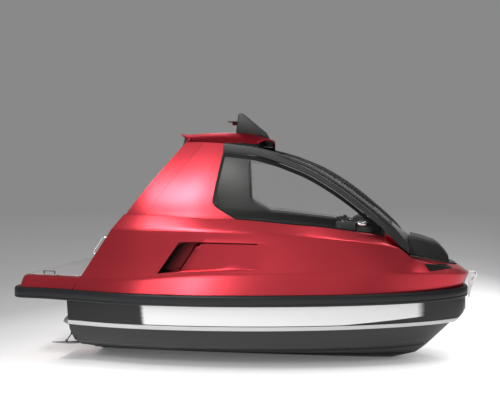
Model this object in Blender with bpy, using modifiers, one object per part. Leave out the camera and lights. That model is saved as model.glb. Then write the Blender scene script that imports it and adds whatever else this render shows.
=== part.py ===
"""Jet boat with a capsule cabin, in metres: +X to the bow, +Y to port, +Z up.

The origin lies on the centreline at the waterline, midway between bow and stern.
"""

import bisect
import math

import bmesh
import bpy
from mathutils import Matrix, Vector

# Driving dimensions of the hull and its rail
HALF_LENGTH = 3.90
HALF_BEAM = 1.71
BEAM_X = -0.70
STERN_HALF = 1.12
STERN_RADIUS = 0.26
SIDE_TUCK = 0.33
TUCK_START = -1.40
TRANSOM_X = -2.83
KEEL_Z = -0.60
KEEL_END_X = 2.60
FOREFOOT_RADIUS = 0.80
STEM_X = 3.848
CHINE_Z = 0.115
STRIPE_TOP_Z = 0.19
BAND_LOW_Z = 0.20
RAIL_LOW, RAIL_HIGH = 0.538, 0.715
RAIL_DEPTH = 0.09
HULL_TOP_Z = 0.6247
KEEL_PAD_HALF = 0.105
TOPSIDE_KNOT_Z = 0.311

# Gaps between pieces that touch, and round pieces that move
TOUCH = 0.0003
SHARED = 0.0025
CLEAR = 0.006

# Body above the rail
SKIN = 0.06
SKIN_FOOT_Z = 0.6253
SLANT_Z = 0.7156
SLANT = 0.70
BODY_AFT_X = -2.714
PANEL_WALL = 0.055
PANEL_GAP = 0.0008
DECK_Z = 0.905
BULKHEAD = (-1.04, -1.00)
DOOR_HALF = 0.40
DOOR_Z = (0.935, 2.80)
LEAF_HALF = 0.43
LEAF_Z = (0.916, 2.82)
DOOR_HINGE = (BULKHEAD[0] - CLEAR - 0.036, LEAF_HALF - 0.004)

# The body's long lines from stern to bow: heights, and distances in from the rail's edge
KNEE_Z = [
    (-2.6, 0.885), (-1.5, 0.92), (-0.8, 0.985), (0.0, 1.02), (1.8, 1.04), (2.8, 1.03), (3.3, 1.01),
    (3.9, 0.94),
]
KNEE_IN = [(-2.6, 0.14), (-1.5, 0.17), (0.0, 0.19), (1.5, 0.17), (2.8, 0.08), (3.9, -0.014)]
SHOULDER_Z = [
    (-2.6, 1.70), (-1.9, 1.743), (-0.9, 1.741), (0.35, 1.70), (1.0, 1.654), (1.8, 1.586),
    (2.3, 1.53), (2.8, 1.43), (2.9, 1.37), (3.05, 1.235), (3.4, 1.14), (3.6, 1.08), (3.9, 0.99),
]
SHOULDER_IN = [(-2.6, 0.22), (-0.9, 0.21), (0.35, 0.20), (1.8, 0.21), (2.7, 0.22), (3.3, 0.17), (3.9, 0.06)]
BELT_Z = [
    (-2.6, 1.985), (-1.5, 1.97), (-0.35, 1.915), (0.08, 1.905), (1.1, 1.815), (1.45, 1.785), (2.15, 1.685),
    (2.6, 1.61), (2.85, 1.40), (3.05, 1.26), (3.4, 1.20), (3.9, 1.075),
]
BELT_IN = [
    (-2.6, 0.36), (-0.9, 0.34), (0.08, 0.355), (1.1, 0.335), (1.45, 0.345), (2.15, 0.40),
    (2.6, 0.46), (2.85, 0.47), (3.05, 0.45), (3.4, 0.36), (3.9, 0.18),
]
ARCH_Y = [
    (-1.0, 0.70), (-0.6, 0.73), (-0.215, 0.78), (0.227, 0.79), (0.669, 0.80), (1.62, 0.80),
    (1.885, 0.77), (2.142, 0.72), (2.38, 0.66), (2.603, 0.60), (2.739, 0.55), (2.912, 0.50),
]
ARCH_Z = [
    (-1.0, 3.24), (-0.6, 3.205), (-0.215, 3.10), (0.227, 3.046), (0.669, 2.932), (0.934, 2.826),
    (1.204, 2.728), (1.62, 2.481), (1.885, 2.295), (2.142, 2.09), (2.38, 1.891), (2.603, 1.682),
    (2.739, 1.508), (2.912, 1.287),
]
ARCH_WIDTH = 0.11
ARCH_DEPTH = 0.15
ROOF_CROWN = [(-1.13, 3.36), (-0.7, 3.395), (-0.2, 3.40), (0.1, 3.37), (0.38, 3.28)]
ROOF_RIM = [
    (-1.13, 3.352), (-1.10, 3.345), (-0.93, 3.237), (-0.6, 3.21), (-0.3, 3.185), (0.0, 3.185), (0.38, 3.145),
]
GLASS_CROWN = [(0.1, 0.05), (1.5, 0.06), (2.3, 0.08), (2.59, 0.10), (2.886, 0.26)]

# The intake in each side: how far its floor lies in, by body station
INTAKE_DEPTH = [(-1.383, 0.0), (-1.373, 0.17), (-1.12, 0.17), (-1.05, 0.075), (0.34, 0.0)]
INTAKE_LOW, INTAKE_HIGH = 0.115, 0.75
INTAKE_WALL = 0.03

SIDES = ((-1, "stbd"), (1, "port"))
BOW_STEPS = 14
SKIN_XS = [BODY_AFT_X, -2.45, -2.2, -1.95, -1.7, -1.5, -1.383, -1.373, -1.25, -1.12, -1.05, -0.9]

for obj in list(bpy.data.objects):
    bpy.data.objects.remove(obj, do_unlink=True)
BOAT = bpy.data.collections.new("jet_boat")
CUTTERS = bpy.data.collections.new("cutters")
for group in (BOAT, CUTTERS):
    bpy.context.scene.collection.children.link(group)


def finish(name, colour, roughness, metallic=0.0, alpha=1.0):
    """A paint, metal or glass: colour is linear red, green and blue."""
    material = bpy.data.materials.new(name)
    material.use_nodes = True
    shader = material.node_tree.nodes["Principled BSDF"]
    shader.inputs["Base Color"].default_value = (*colour, 1.0)
    shader.inputs["Roughness"].default_value = roughness
    shader.inputs["Metallic"].default_value = metallic
    shader.inputs["Alpha"].default_value = alpha
    return material


RED = finish("red_paint", (0.45, 0.02, 0.035), 0.3, 0.5)
HULL_GREY = finish("hull_grey", (0.045, 0.045, 0.047), 0.5)
BAND_GREY = finish("band_grey", (0.25, 0.25, 0.26), 0.1, 1.0)
PALE_GREY = finish("pale_grey", (0.55, 0.55, 0.55), 0.4)
BLACK = finish("black_gloss", (0.02, 0.02, 0.022), 0.2)
RUBBER = finish("rubber", (0.028, 0.03, 0.03), 0.6)
GLASS = finish("tinted_glass", (0.1, 0.11, 0.12), 0.05, alpha=0.45)
DECK_GREY = finish("deck_grey", (0.3, 0.3, 0.3), 0.7)
LINING = finish("lining", (0.04, 0.04, 0.042), 0.8)
LEATHER = finish("leather", (0.05, 0.05, 0.052), 0.6)
STEEL = finish("steel", (0.6, 0.6, 0.6), 0.25, 1.0)
ALLOY = finish("alloy", (0.35, 0.35, 0.36), 0.4, 1.0)
LAMP = finish("lamp", (0.8, 0.8, 0.8), 0.2)


def smooth(points, x):
    """Height at x of a smooth curve through (x, height) points, level past its ends."""
    xs = [p[0] for p in points]
    ys = [p[1] for p in points]
    if x <= xs[0]:
        return ys[0]
    if x >= xs[-1]:
        return ys[-1]
    rises = [(ys[i + 1] - ys[i]) / (xs[i + 1] - xs[i]) for i in range(len(xs) - 1)]

    def slope(i):
        before = rises[max(i - 1, 0)]
        after = rises[min(i, len(rises) - 1)]
        return 2 * before * after / (before + after) if before * after > 0 else 0.0

    i = bisect.bisect_right(xs, x) - 1
    width = xs[i + 1] - xs[i]
    t = (x - xs[i]) / width
    return (
        ys[i] * (1 + 2 * t) * (1 - t) ** 2
        + ys[i + 1] * t * t * (3 - 2 * t)
        + slope(i) * width * t * (1 - t) ** 2
        - slope(i + 1) * width * t * t * (1 - t)
    )


def straight(points, x):
    """Height at x of the broken line through (x, height) points."""
    xs = [p[0] for p in points]
    i = min(max(bisect.bisect_right(xs, x) - 1, 0), len(xs) - 2)
    t = min(max((x - xs[i]) / (xs[i + 1] - xs[i]), 0.0), 1.0)
    return points[i][1] + t * (points[i + 1][1] - points[i][1])


def ease(t):
    """Smooth step from 0 to 1."""
    t = min(max(t, 0.0), 1.0)
    return t * t * (3 - 2 * t)


def mix(a, b, t):
    return a + (b - a) * t


def rail_edge(x):
    """Point and outward normal, in plan, of the rail's outer edge to port."""
    if x >= BEAM_X:
        reach = min((x - BEAM_X) / (HALF_LENGTH - BEAM_X), 1.0)
        sine = reach**0.8
        cosine = math.sqrt(max(1 - sine * sine, 0.0))
        run = (HALF_LENGTH - BEAM_X) * 1.25 * sine**0.25 * cosine
        fall = HALF_BEAM * sine
        normal = Vector((fall, run)) if run + fall > 1e-6 else Vector((0.0, 1.0))
        return Vector((x, HALF_BEAM * cosine)), normal.normalized()
    side_end = STERN_RADIUS - HALF_LENGTH
    v = min(max((TUCK_START - x) / (TUCK_START - side_end), 0.0), 1.0)
    lean = SIDE_TUCK * 6 * v * (1 - v) / (TUCK_START - side_end)
    normal = Vector((-lean, 1.0))
    return Vector((x, HALF_BEAM - SIDE_TUCK * ease(v))), normal.normalized()


def inside_rail(x, inward, z):
    """Point at a distance inward from the rail's outer edge, to port."""
    point, normal = rail_edge(x)
    point = point - normal * inward
    return Vector((point.x, point.y, z))


def inboard(x, inward, z):
    """Point of the body at a distance in from the rail, straight across aft of the widest place."""
    if x >= BEAM_X:
        return inside_rail(x, inward, z)
    edge, _ = rail_edge(x)
    return Vector((x, edge.y - inward, z))


BOW_XS = [
    BEAM_X + (HALF_LENGTH - BEAM_X) * math.sin(math.pi / 2 * i / BOW_STEPS) ** 1.25
    for i in range(BOW_STEPS + 1)
]
BODY_XS = SKIN_XS + BOW_XS
HULL_XS = [TRANSOM_X] + BODY_XS


def stern_plan(inward):
    """Points of the rail's plan from the side's end round the corner, to port."""
    centre = Vector((STERN_RADIUS - HALF_LENGTH, STERN_HALF))
    radius = STERN_RADIUS - inward
    steps = 6
    return [
        centre + Vector((-math.sin(a), math.cos(a))) * radius
        for a in (math.pi / 2 * i / steps for i in range(steps + 1))
    ]


def mirrored(points):
    return [Vector((p.x, -p.y, p.z)) for p in points]


def both_sides(rows):
    """Rows from the stern forward to port, made a run from starboard round the bow to port."""
    return [mirrored(row) for row in rows] + list(reversed(rows[:-1]))


def add(name, mesh, paint, group=None):
    obj = bpy.data.objects.new(name, mesh)
    (group or BOAT).objects.link(obj)
    if paint:
        mesh.materials.append(paint)
    return obj


def from_bmesh(name, bm, paint, group=None):
    bmesh.ops.remove_doubles(bm, verts=bm.verts, dist=1e-6)
    bmesh.ops.recalc_face_normals(bm, faces=bm.faces)
    mesh = bpy.data.meshes.new(name)
    bm.to_mesh(mesh)
    bm.free()
    return add(name, mesh, paint, group)


def loft(name, rows, paint, wrap=False, closed_tip=True, group=None):
    """Closed skin through rows of points, each row a ring of the same even count.

    An end is closed by a strip across the ring, from its first half to its second.
    """
    bm = bmesh.new()
    rings = [[bm.verts.new(p) for p in row] for row in rows]
    count = len(rows[0])
    following = rings[1:] + (rings[:1] if wrap else [])
    for a, b in zip(rings, following):
        for i in range(count):
            j = (i + 1) % count
            bm.faces.new((a[i], a[j], b[j], b[i]))
    ends = [] if wrap else [rings[0]] + ([rings[-1]] if closed_tip else [])
    for ring in ends:
        for i in range(count // 2 - 1):
            bm.faces.new((ring[i], ring[i + 1], ring[count - 2 - i], ring[count - 1 - i]))
    return from_bmesh(name, bm, paint, group)


def box(name, low, high, paint, bevel=0.0, group=None):
    bm = bmesh.new()
    bmesh.ops.create_cube(bm, size=1.0)
    low, high = Vector(low), Vector(high)
    bmesh.ops.scale(bm, vec=high - low, verts=bm.verts)
    bmesh.ops.translate(bm, vec=(low + high) / 2, verts=bm.verts)
    obj = from_bmesh(name, bm, paint, group)
    if bevel:
        rounding = obj.modifiers.new("rounded_edges", "BEVEL")
        rounding.width = bevel
        rounding.segments = 2
        rounding.limit_method = "ANGLE"
    return obj


def rod(name, start, end, radius, paint, end_radius=None, segments=20, group=None):
    """Round bar or cone between two points."""
    start, end = Vector(start), Vector(end)
    along = end - start
    bm = bmesh.new()
    bmesh.ops.create_cone(
        bm, cap_ends=True, segments=segments, radius1=radius,
        radius2=radius if end_radius is None else end_radius, depth=along.length,
    )
    place = Matrix.Translation((start + end) / 2) @ along.to_track_quat("Z", "Y").to_matrix().to_4x4()
    bmesh.ops.transform(bm, matrix=place, verts=bm.verts)
    return from_bmesh(name, bm, paint, group)


def solid_of_curve(name, curve, matrix, paint, group=None):
    """The curve's shape as a mesh, its caps welded, placed by matrix."""
    guide = bpy.data.objects.new(name + "_guide", curve)
    bpy.context.scene.collection.objects.link(guide)
    graph = bpy.context.evaluated_depsgraph_get()
    mesh = bpy.data.meshes.new_from_object(guide.evaluated_get(graph))
    bpy.data.objects.remove(guide, do_unlink=True)
    bpy.data.curves.remove(curve)
    bm = bmesh.new()
    bm.from_mesh(mesh)
    bpy.data.meshes.remove(mesh)
    bmesh.ops.transform(bm, matrix=matrix, verts=bm.verts)
    return from_bmesh(name, bm, paint, group)


LEVEL = Matrix.Identity(4)
ALONG_Y = Matrix(((1, 0, 0, 0), (0, 0, -1, 0), (0, 1, 0, 0), (0, 0, 0, 1)))
ALONG_X = Matrix(((0, 0, 1, 0), (1, 0, 0, 0), (0, 1, 0, 0), (0, 0, 0, 1)))


def plate(name, outlines, low, high, paint, facing=LEVEL, group=None):
    """Flat sheet: its edge, then any holes, as outlines; low and high are its two faces."""
    curve = bpy.data.curves.new(name, "CURVE")
    curve.dimensions = "2D"
    curve.fill_mode = "BOTH"
    curve.extrude = (high - low) / 2
    for outline in outlines:
        spline = curve.splines.new("POLY")
        spline.points.add(len(outline) - 1)
        for point, (u, v) in zip(spline.points, outline):
            point.co = (u, v, 0.0, 1.0)
        spline.use_cyclic_u = True
    middle = (low + high) / 2
    if facing is ALONG_Y:
        middle = -middle
    return solid_of_curve(name, curve, facing @ Matrix.Translation((0, 0, middle)), paint, group)


def tube(name, points, radius, paint, cyclic=False, group=None):
    """Round bar bent along points."""
    curve = bpy.data.curves.new(name, "CURVE")
    curve.dimensions = "3D"
    curve.bevel_depth = radius
    curve.bevel_resolution = 2
    curve.use_fill_caps = True
    spline = curve.splines.new("POLY")
    spline.points.add(len(points) - 1)
    for point, place in zip(spline.points, points):
        point.co = (*place, 1.0)
    spline.use_cyclic_u = cyclic
    return solid_of_curve(name, curve, LEVEL, paint, group)


def combine(obj, other, operation):
    """Cut other from obj, or join it on; other becomes a hidden helper."""
    for group in list(other.users_collection):
        group.objects.unlink(other)
    CUTTERS.objects.link(other)
    other.hide_render = True
    other.display_type = "WIRE"
    modifier = obj.modifiers.new(other.name, "BOOLEAN")
    modifier.operation = operation
    modifier.object = other
    return obj


def cut(obj, other):
    return combine(obj, other, "DIFFERENCE")


def join(obj, other):
    return combine(obj, other, "UNION")


def set_axis(obj, point):
    """Puts the object's origin on its joint, its shape unmoved."""
    point = Vector(point)
    obj.data.transform(Matrix.Translation(-point))
    obj.location = point
    return obj


def rounded(low, high, radius, steps=4):
    """Outline of a rectangle with round corners, in its own plane."""
    points = []
    for corner, (u, v) in enumerate(((1, 1), (-1, 1), (-1, -1), (1, -1))):
        centre = (
            (high[0] - radius) if u > 0 else (low[0] + radius),
            (high[1] - radius) if v > 0 else (low[1] + radius),
        )
        for i in range(steps + 1):
            a = math.pi / 2 * (corner + i / steps)
            points.append((centre[0] + radius * math.cos(a), centre[1] + radius * math.sin(a)))
    return points


def lean_of(station):
    """How far a body section leans forward for each metre of height."""
    return SLANT * (1 - ease((station + 0.6) / 2.1))


def lean_x(station, z):
    return station + lean_of(station) * max(z - SLANT_Z, 0.0)


def lean_point(station, heights, insets, more=0.0):
    """Where a body section crosses one of the body's long lines."""
    x = station
    for _ in range(8):
        x = lean_x(station, smooth(heights, x))
    return inboard(x, smooth(insets, x) + more, smooth(heights, x))


def body_section(station):
    """Ring of points round the body's side wall, outer face up and inner face down."""
    low_x = high_x = station
    for _ in range(8):
        low_z = smooth(KNEE_Z, low_x)
        low_x = lean_x(station, low_z)
        high_z = smooth(SHOULDER_Z, high_x)
        high_x = lean_x(station, high_z)
    low_in, high_in = smooth(KNEE_IN, low_x), smooth(SHOULDER_IN, high_x)
    dent = straight(INTAKE_DEPTH, station) if INTAKE_DEPTH[0][0] < station < INTAKE_DEPTH[-1][0] else 0.0
    middle = (INTAKE_LOW + INTAKE_HIGH) / 2
    panel = [
        (0.0, 0.0), (INTAKE_LOW, 0.0), (INTAKE_LOW + INTAKE_WALL, dent), (middle, dent),
        (INTAKE_HIGH - INTAKE_WALL, dent), (INTAKE_HIGH, 0.0), (1.0, 0.0),
    ]

    def wall(more):
        points = []
        for share, depth in panel:
            z = mix(low_z, high_z, share)
            x = lean_x(station, z)
            points.append(inboard(x, mix(low_in, high_in, share) + depth + more, z))
        return points

    outer = [
        inside_rail(station, RAIL_DEPTH + SHARED, SKIN_FOOT_Z),
        inside_rail(station, RAIL_DEPTH + SHARED, RAIL_HIGH + TOUCH),
        inside_rail(station, RAIL_DEPTH - 0.005, RAIL_HIGH + 2 * TOUCH),
    ]
    outer += wall(0.0)
    belt = lean_point(station, BELT_Z, BELT_IN)
    turn = ease((belt.x - 2.1) / 0.5)
    inner_belt = lean_point(station, BELT_Z, BELT_IN, SKIN * (1 - turn))
    inner_belt.z -= 0.05 * turn
    inner = list(reversed(wall(SKIN))) + [
        inside_rail(station, RAIL_DEPTH + SHARED + SKIN, RAIL_HIGH + 2 * TOUCH),
        inside_rail(station, RAIL_DEPTH + SHARED + SKIN, RAIL_HIGH - 0.02),
        inside_rail(station, RAIL_DEPTH + SHARED + SKIN, SKIN_FOOT_Z),
    ]
    return outer + [belt, inner_belt] + inner


BELT_LINE = [lean_point(x, BELT_Z, BELT_IN) for x in BODY_XS]
BELT_Y_AT = [(p.x, p.y) for p in BELT_LINE]
BELT_Z_AT = [(p.x, p.z) for p in BELT_LINE]


def side_y(x, z):
    """Half-breadth of the upper side, from the belt line up to the roof."""
    low_y, low_z = straight(BELT_Y_AT, x), straight(BELT_Z_AT, x)
    rise = max((z - low_z) / (smooth(ARCH_Z, x) - low_z), 0.0)
    return mix(smooth(ARCH_Y, x), low_y, 1 - rise**1.25)


def stem_x(z):
    """Length of the stem's profile at height z."""
    rise = z - KEEL_Z
    turned_rise = FOREFOOT_RADIUS * (1 - math.cos(math.pi / 4))
    if rise <= turned_rise:
        return KEEL_END_X + math.sqrt(FOREFOOT_RADIUS**2 - (FOREFOOT_RADIUS - rise) ** 2)
    slope_x = KEEL_END_X + FOREFOOT_RADIUS * math.sin(math.pi / 4) + (rise - turned_rise)
    return min(slope_x + 0.02 * ease(rise / 0.7), STEM_X)


def chine_half(x, end_x):
    """Half-breadth of the chine at length x."""
    widest = -1.2
    if x < widest:
        return 1.53 - 0.184 * ((widest - x) / 1.6) ** 2
    u = min((x - widest) / (end_x - widest), 1.0)
    return 1.53 * (1 - u * u) ** (1 / 1.55)


# Bottom of the hull as (share of half-breadth, share of rise), with two spray strakes
BOTTOM = [
    (KEEL_PAD_HALF, 0.0), (0.30, 0.137), (0.335, 0.141), (0.338, 0.160), (0.55, 0.297),
    (0.66, 0.378), (0.695, 0.382), (0.698, 0.408), (0.85, 0.559), (0.95, 0.79),
]


def transom_x(z):
    return mix(-2.81, -2.857, min(max((z - CHINE_Z) / 0.42, 0.0), 1.0))


def hull_row(station):
    """Section of the hull: starboard top, down round the keel, up to port top."""
    u = (station - TRANSOM_X) / (HALF_LENGTH - TRANSOM_X)
    chine_end = stem_x(CHINE_Z)
    chine_x = mix(transom_x(CHINE_Z), chine_end, u)
    chine_y = chine_half(chine_x, chine_end)
    half = []
    for across, rise in BOTTOM:
        z = mix(KEEL_Z, CHINE_Z, rise)
        half.append(Vector((mix(transom_x(z), stem_x(z), u), chine_y * across, z)))
    half.append(Vector((chine_x, chine_y, CHINE_Z)))
    half += [topside_point(station, z) for z in (STRIPE_TOP_Z, BAND_LOW_Z, TOPSIDE_KNOT_Z, RAIL_LOW - 0.0015)]
    inner = inside_rail(station, RAIL_DEPTH + SHARED, RAIL_LOW - 0.0005)
    half += [inner, Vector((inner.x, inner.y, HULL_TOP_Z))]
    return mirrored(reversed(half)) + half


def topside_point(station, z, out=0.0):
    """Point on the hull's side between the chine and the rail, pushed outward by out."""
    u = (station - TRANSOM_X) / (HALF_LENGTH - TRANSOM_X)
    end_x = stem_x(CHINE_Z)
    x = mix(transom_x(CHINE_Z), end_x, u)
    low = Vector((x, chine_half(x, end_x), CHINE_Z))
    high = inside_rail(station, mix(RAIL_DEPTH, 0.05, u**4), RAIL_LOW)
    share = (z - CHINE_Z) / (RAIL_LOW - CHINE_Z)
    share = max(share, 0.0) ** mix(1.0, 0.55, u**3)
    point = low.lerp(high, share)
    point.x += u**6 * (min(stem_x(z), high.x) - point.x)
    _, normal = rail_edge(station)
    return Vector((point.x + normal.x * out, point.y + normal.y * out, z))


def make_hull():
    hull = loft("hull", [hull_row(x) for x in HULL_XS], HULL_GREY, closed_tip=False)
    cut(hull, box("engine_bay", (-2.56, -0.56, -0.24), (-1.24, 0.56, 0.80), None, group=CUTTERS))
    cut(hull, box("intake_recess", (-2.10, -0.11, -0.80), (-1.50, 0.11, -0.50), None, group=CUTTERS))
    bars = [rounded((-2.06 + 0.095 * i, -0.08), (-2.01 + 0.095 * i, 0.08), 0.02, 3) for i in range(6)]
    edge = rounded((-2.0996, -0.1096), (-1.5004, 0.1096), 0.004, 3)
    plate("intake_grille", [edge] + bars, KEEL_Z + 0.004, KEEL_Z + 0.024, ALLOY)
    return hull


def side_strip(name, heights, start, thick, paint):
    """Strip wrapped round the hull's side, through the given heights."""
    rows = []
    for station in HULL_XS:
        outer = [topside_point(station, z, start + thick) for z in heights]
        inner = [topside_point(station, z, start) for z in reversed(heights)]
        rows.append(outer + inner)
    return loft(name, both_sides(rows), paint)


def make_hull_trim():
    side_strip("spray_rail", (CHINE_Z + 0.003, STRIPE_TOP_Z - 0.001), 0.001, 0.018, PALE_GREY)
    band = (BAND_LOW_Z, TOPSIDE_KNOT_Z, RAIL_LOW - 0.004)
    side_strip("topside_band", band, 0.001, 0.012, BAND_GREY)


def make_rub_rail():
    """Rubber rail round the whole deck edge, stern included."""
    profile = [
        (-RAIL_DEPTH, RAIL_LOW), (-0.014, RAIL_LOW), (0.0, RAIL_LOW + 0.02),
        (0.0, RAIL_HIGH - 0.035), (-0.02, RAIL_HIGH), (-RAIL_DEPTH, RAIL_HIGH),
    ]
    half = []
    corner = stern_plan(0.0)
    centre = Vector((STERN_RADIUS - HALF_LENGTH, STERN_HALF))
    for point in reversed(corner):
        half.append((point, (point - centre).normalized()))
    half += [rail_edge(x) for x in [-3.15, -2.9] + HULL_XS]
    rows = []
    for point, normal in half:
        rows.append([Vector((*(point + normal * out), z)) for out, z in profile])
    loft("rub_rail", both_sides(rows), RUBBER, wrap=True)


def make_platform():
    """Stern platform inside the rail, from the transom aft."""

    def ring(inward, z, front_x):
        x = front_x
        for _ in range(4):
            x += front_x - inside_rail(x, inward, z).x
        half = [inside_rail(place, inward, z) for place in (x, -2.9, -3.15)]
        half += [Vector((*p, z)) for p in stern_plan(inward)]
        return half + list(reversed(mirrored(half)))

    def front(z):
        return BODY_AFT_X + SLANT * max(z - SLANT_Z, 0.0) - SHARED

    levels = [
        (RAIL_DEPTH + SHARED, 0.545, TRANSOM_X - 0.035), (RAIL_DEPTH + SHARED, 0.6256, TRANSOM_X - 0.035),
        (RAIL_DEPTH + SHARED, 0.6257, front(0.62)), (RAIL_DEPTH + SHARED, RAIL_HIGH + TOUCH, front(0.7)),
        (RAIL_DEPTH - 0.005, RAIL_HIGH + 2 * TOUCH, front(RAIL_HIGH)), (0.13, 0.84, front(0.84)),
        (0.16, 0.89, front(0.89)), (0.20, DECK_Z, front(DECK_Z)),
    ]
    loft("stern_platform", [ring(*level) for level in levels], RED)
    planks = ring(0.24, 0.0, -2.62)
    outline = [(p.x, p.y) for p in planks]
    plate("platform_planking", [outline], DECK_Z + TOUCH, DECK_Z + 0.010, DECK_GREY)


HATCH_HINGE = (-2.440, 0.911)


def make_cockpit():
    deck = plate(
        "cockpit_deck",
        [[(-2.575, SKIN_FOOT_Z), (BULKHEAD[0] - 0.002, SKIN_FOOT_Z), (BULKHEAD[0] - 0.002, DECK_Z),
          (-2.575, DECK_Z)]],
        -1.20, 1.20, DECK_GREY, ALONG_Y,
    )
    cut(deck, box("deck_underside", (-2.52, -1.12, 0.50), (-1.12, 1.12, 0.865), None, group=CUTTERS))
    cut(deck, box("hatch_opening", (-2.45, -0.42, 0.80), (-1.55, 0.42, 1.00), None, group=CUTTERS))
    lid = plate(
        "engine_hatch", [rounded((-2.45 + CLEAR, -0.42 + CLEAR), (-1.55 - CLEAR, 0.42 - CLEAR), 0.01, 2)],
        0.872, DECK_Z, DECK_GREY,
    )
    for y in (-0.28, 0.28):
        knuckle = rod(f"hatch_knuckle_{y:+.2f}", (HATCH_HINGE[0], y - 0.04, HATCH_HINGE[1]),
                      (HATCH_HINGE[0], y + 0.04, HATCH_HINGE[1]), 0.0113, STEEL, segments=16)
        join(lid, knuckle)
    set_axis(lid, (HATCH_HINGE[0], 0.0, HATCH_HINGE[1]))
    box("engine_block", (-2.45, -0.375, -0.2397), (-1.35, 0.375, 0.52), ALLOY, 0.04)


def make_body():
    loft("body_side", both_sides([body_section(x) for x in BODY_XS]), RED)
    floor = [inside_rail(x, 0.24, 0.0) for x in BODY_XS if x < 3.1]
    floor = [p for p in floor if p.x > BULKHEAD[1] + 0.004]
    first = Vector((BULKHEAD[1] + TOUCH, floor[0].y, 0.0))
    half = [first] + floor
    outline = [(p.x, p.y) for p in half] + [(p.x, -p.y) for p in reversed(half)]
    plate("cabin_sole", [outline], SKIN_FOOT_Z, 0.66, DECK_GREY)


def tail_edge(z):
    """Aft edge of the tail panel, a little steeper than the body's own slant."""
    return BODY_AFT_X + SLANT * (z - SLANT_Z) + 0.03 * (3.2 - z)


def seam(z):
    """Length of the joint between the tail and quarter panels."""
    return -1.437 + 0.648 * (z - 1.999)


WINDOW_CORNER_Z = (1.905, 2.14)


def window_edge(z):
    """Front edge of the quarter panel: upright, with a slanted corner at the belt."""
    if z < WINDOW_CORNER_Z[1]:
        rise = (z - WINDOW_CORNER_Z[0]) / (WINDOW_CORNER_Z[1] - WINDOW_CORNER_Z[0])
        return mix(0.08, -0.34, min(max(rise, 0.0), 1.0))
    return mix(-0.34, -0.262, (z - WINDOW_CORNER_Z[1]) / 1.05)


def roof_z(x, y, lower=0.0, half=0.74):
    rim = smooth(ROOF_RIM, x)
    crown = smooth(ROOF_CROWN, x) - lower
    return rim + (crown - rim) * (1 - min(abs(y) / half, 1.0) ** 3.2)


ROOF_XS = (-1.13, -1.06, -0.96, -0.8, -0.6, -0.4, -0.2, 0.1, 0.28)


def roof_shift(x, share):
    """How far a point of the roof's section runs forward of its station."""
    front = 0.10 * ease((x + 0.2) / 0.48) * (1 - share * share)
    return front + 0.02 * ease((-0.8 - x) / 0.33) * share * share


ROOF_LINE = [(x + roof_shift(x, 0), roof_z(x + roof_shift(x, 0), 0.0)) for x in ROOF_XS]
RIM_LINE = [(x + roof_shift(x, 1), smooth(ROOF_RIM, x + roof_shift(x, 1))) for x in ROOF_XS]


def make_upper_sides():
    """Tail and quarter panels from the belt up to the roof's rim."""
    window_corner = 0.1764
    levels = [0.0, 0.08, window_corner, 0.28, 0.42, 0.56, 0.70, 0.85, 1.0]
    columns = [c / 8 for c in range(9)]

    def panel(name, side, aft, front):
        rows = []
        for c in columns:
            outer = []
            for share in levels:
                z = mix(2.0, 3.2, share)
                for _ in range(16):
                    x = mix(aft(z), front(z), c)
                    z = mix(straight(BELT_Z_AT, x) + PANEL_GAP, straight(RIM_LINE, x) - PANEL_GAP, share)
                outer.append(Vector((x, side_y(x, z) - 0.002, z)))
            inner = [Vector((p.x, p.y - PANEL_WALL, p.z)) for p in reversed(outer)]
            rows.append(outer + inner)
        if side < 0:
            rows = [mirrored(row) for row in rows]
        loft(name, rows, RED)

    for side, label in SIDES:
        panel(f"tail_panel_{label}", side, tail_edge, lambda z: seam(z) - SHARED)
        panel(f"quarter_panel_{label}", side, lambda z: seam(z) + SHARED, window_edge)


def make_roof():
    shares = [1.0, 0.96, 0.9, 0.8, 0.65, 0.5, 0.3, 0.1]
    shares = [-s for s in shares] + list(reversed(shares))
    rows = []
    for x in ROOF_XS:
        half = 0.74 - 0.08 * ease((-0.95 - x) / 0.18)
        thick = mix(0.012, 0.04, ease((x + 1.13) / 0.2))
        ring = []
        for wall, order in ((0.0, shares), (1.0, list(reversed(shares)))):
            for share in order:
                place = x + roof_shift(x, share)
                y = share * (half - 0.04 * wall)
                ring.append(Vector((place, y, roof_z(place, y, thick * wall, half - 0.04 * wall))))
        rows.append(ring)
    loft("roof_cap", rows, RED)
    low, high = 0.06, 0.10
    top = []
    for share in shares[1:-1]:
        under = []
        for x in ROOF_XS:
            place = x + roof_shift(x, share)
            under.append((place, roof_z(place, share * 0.70, 0.04, 0.70)))
        top.append((share * 0.70, min(straight(under, low), straight(under, high)) - 0.0015))
    plate("windshield_header", [[(top[-1][0], 3.03), (top[0][0], 3.03)] + top], low, high, BLACK, ALONG_X)


def arch_frame(x):
    """Centre of the roof arch at length x, its in-plane normal and its slope."""
    step = 0.01
    rise = (smooth(ARCH_Z, x + step) - smooth(ARCH_Z, x - step)) / (2 * step)
    normal = Vector((-rise, 0.0, 1.0)).normalized()
    return Vector((x, smooth(ARCH_Y, x), smooth(ARCH_Z, x))), normal, rise


def make_arches():
    corner = 0.02
    across, deep = ARCH_WIDTH / 2, ARCH_DEPTH / 2
    ring = [
        (across, corner - deep), (across, deep - corner),
        (across - corner, deep), (corner - across, deep),
        (-across, deep - corner), (-across, corner - deep),
        (corner - across, -deep), (across - corner, -deep),
    ]
    rows = []
    for x in (-0.235, 0.1, 0.4, 0.7, 1.0, 1.3, 1.6, 1.9, 2.15, 2.4, 2.6, 2.75, 2.86):
        centre, normal, _ = arch_frame(x)
        row = []
        for y, n in ring:
            p = centre + normal * n
            p.y = smooth(ARCH_Y, p.x) + y
            foot = straight(BELT_Z_AT, p.x - 0.09) + 0.02
            p.z = foot if x > 2.5 and n < corner - deep + 0.001 else min(max(p.z, foot), 3.18)
            if not rows:
                p.x = window_edge(p.z) + 2 * TOUCH
            row.append(p)
        rows.append(row)
    loft("arch_port", rows, BLACK)
    loft("arch_stbd", [mirrored(row) for row in rows], BLACK)


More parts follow.
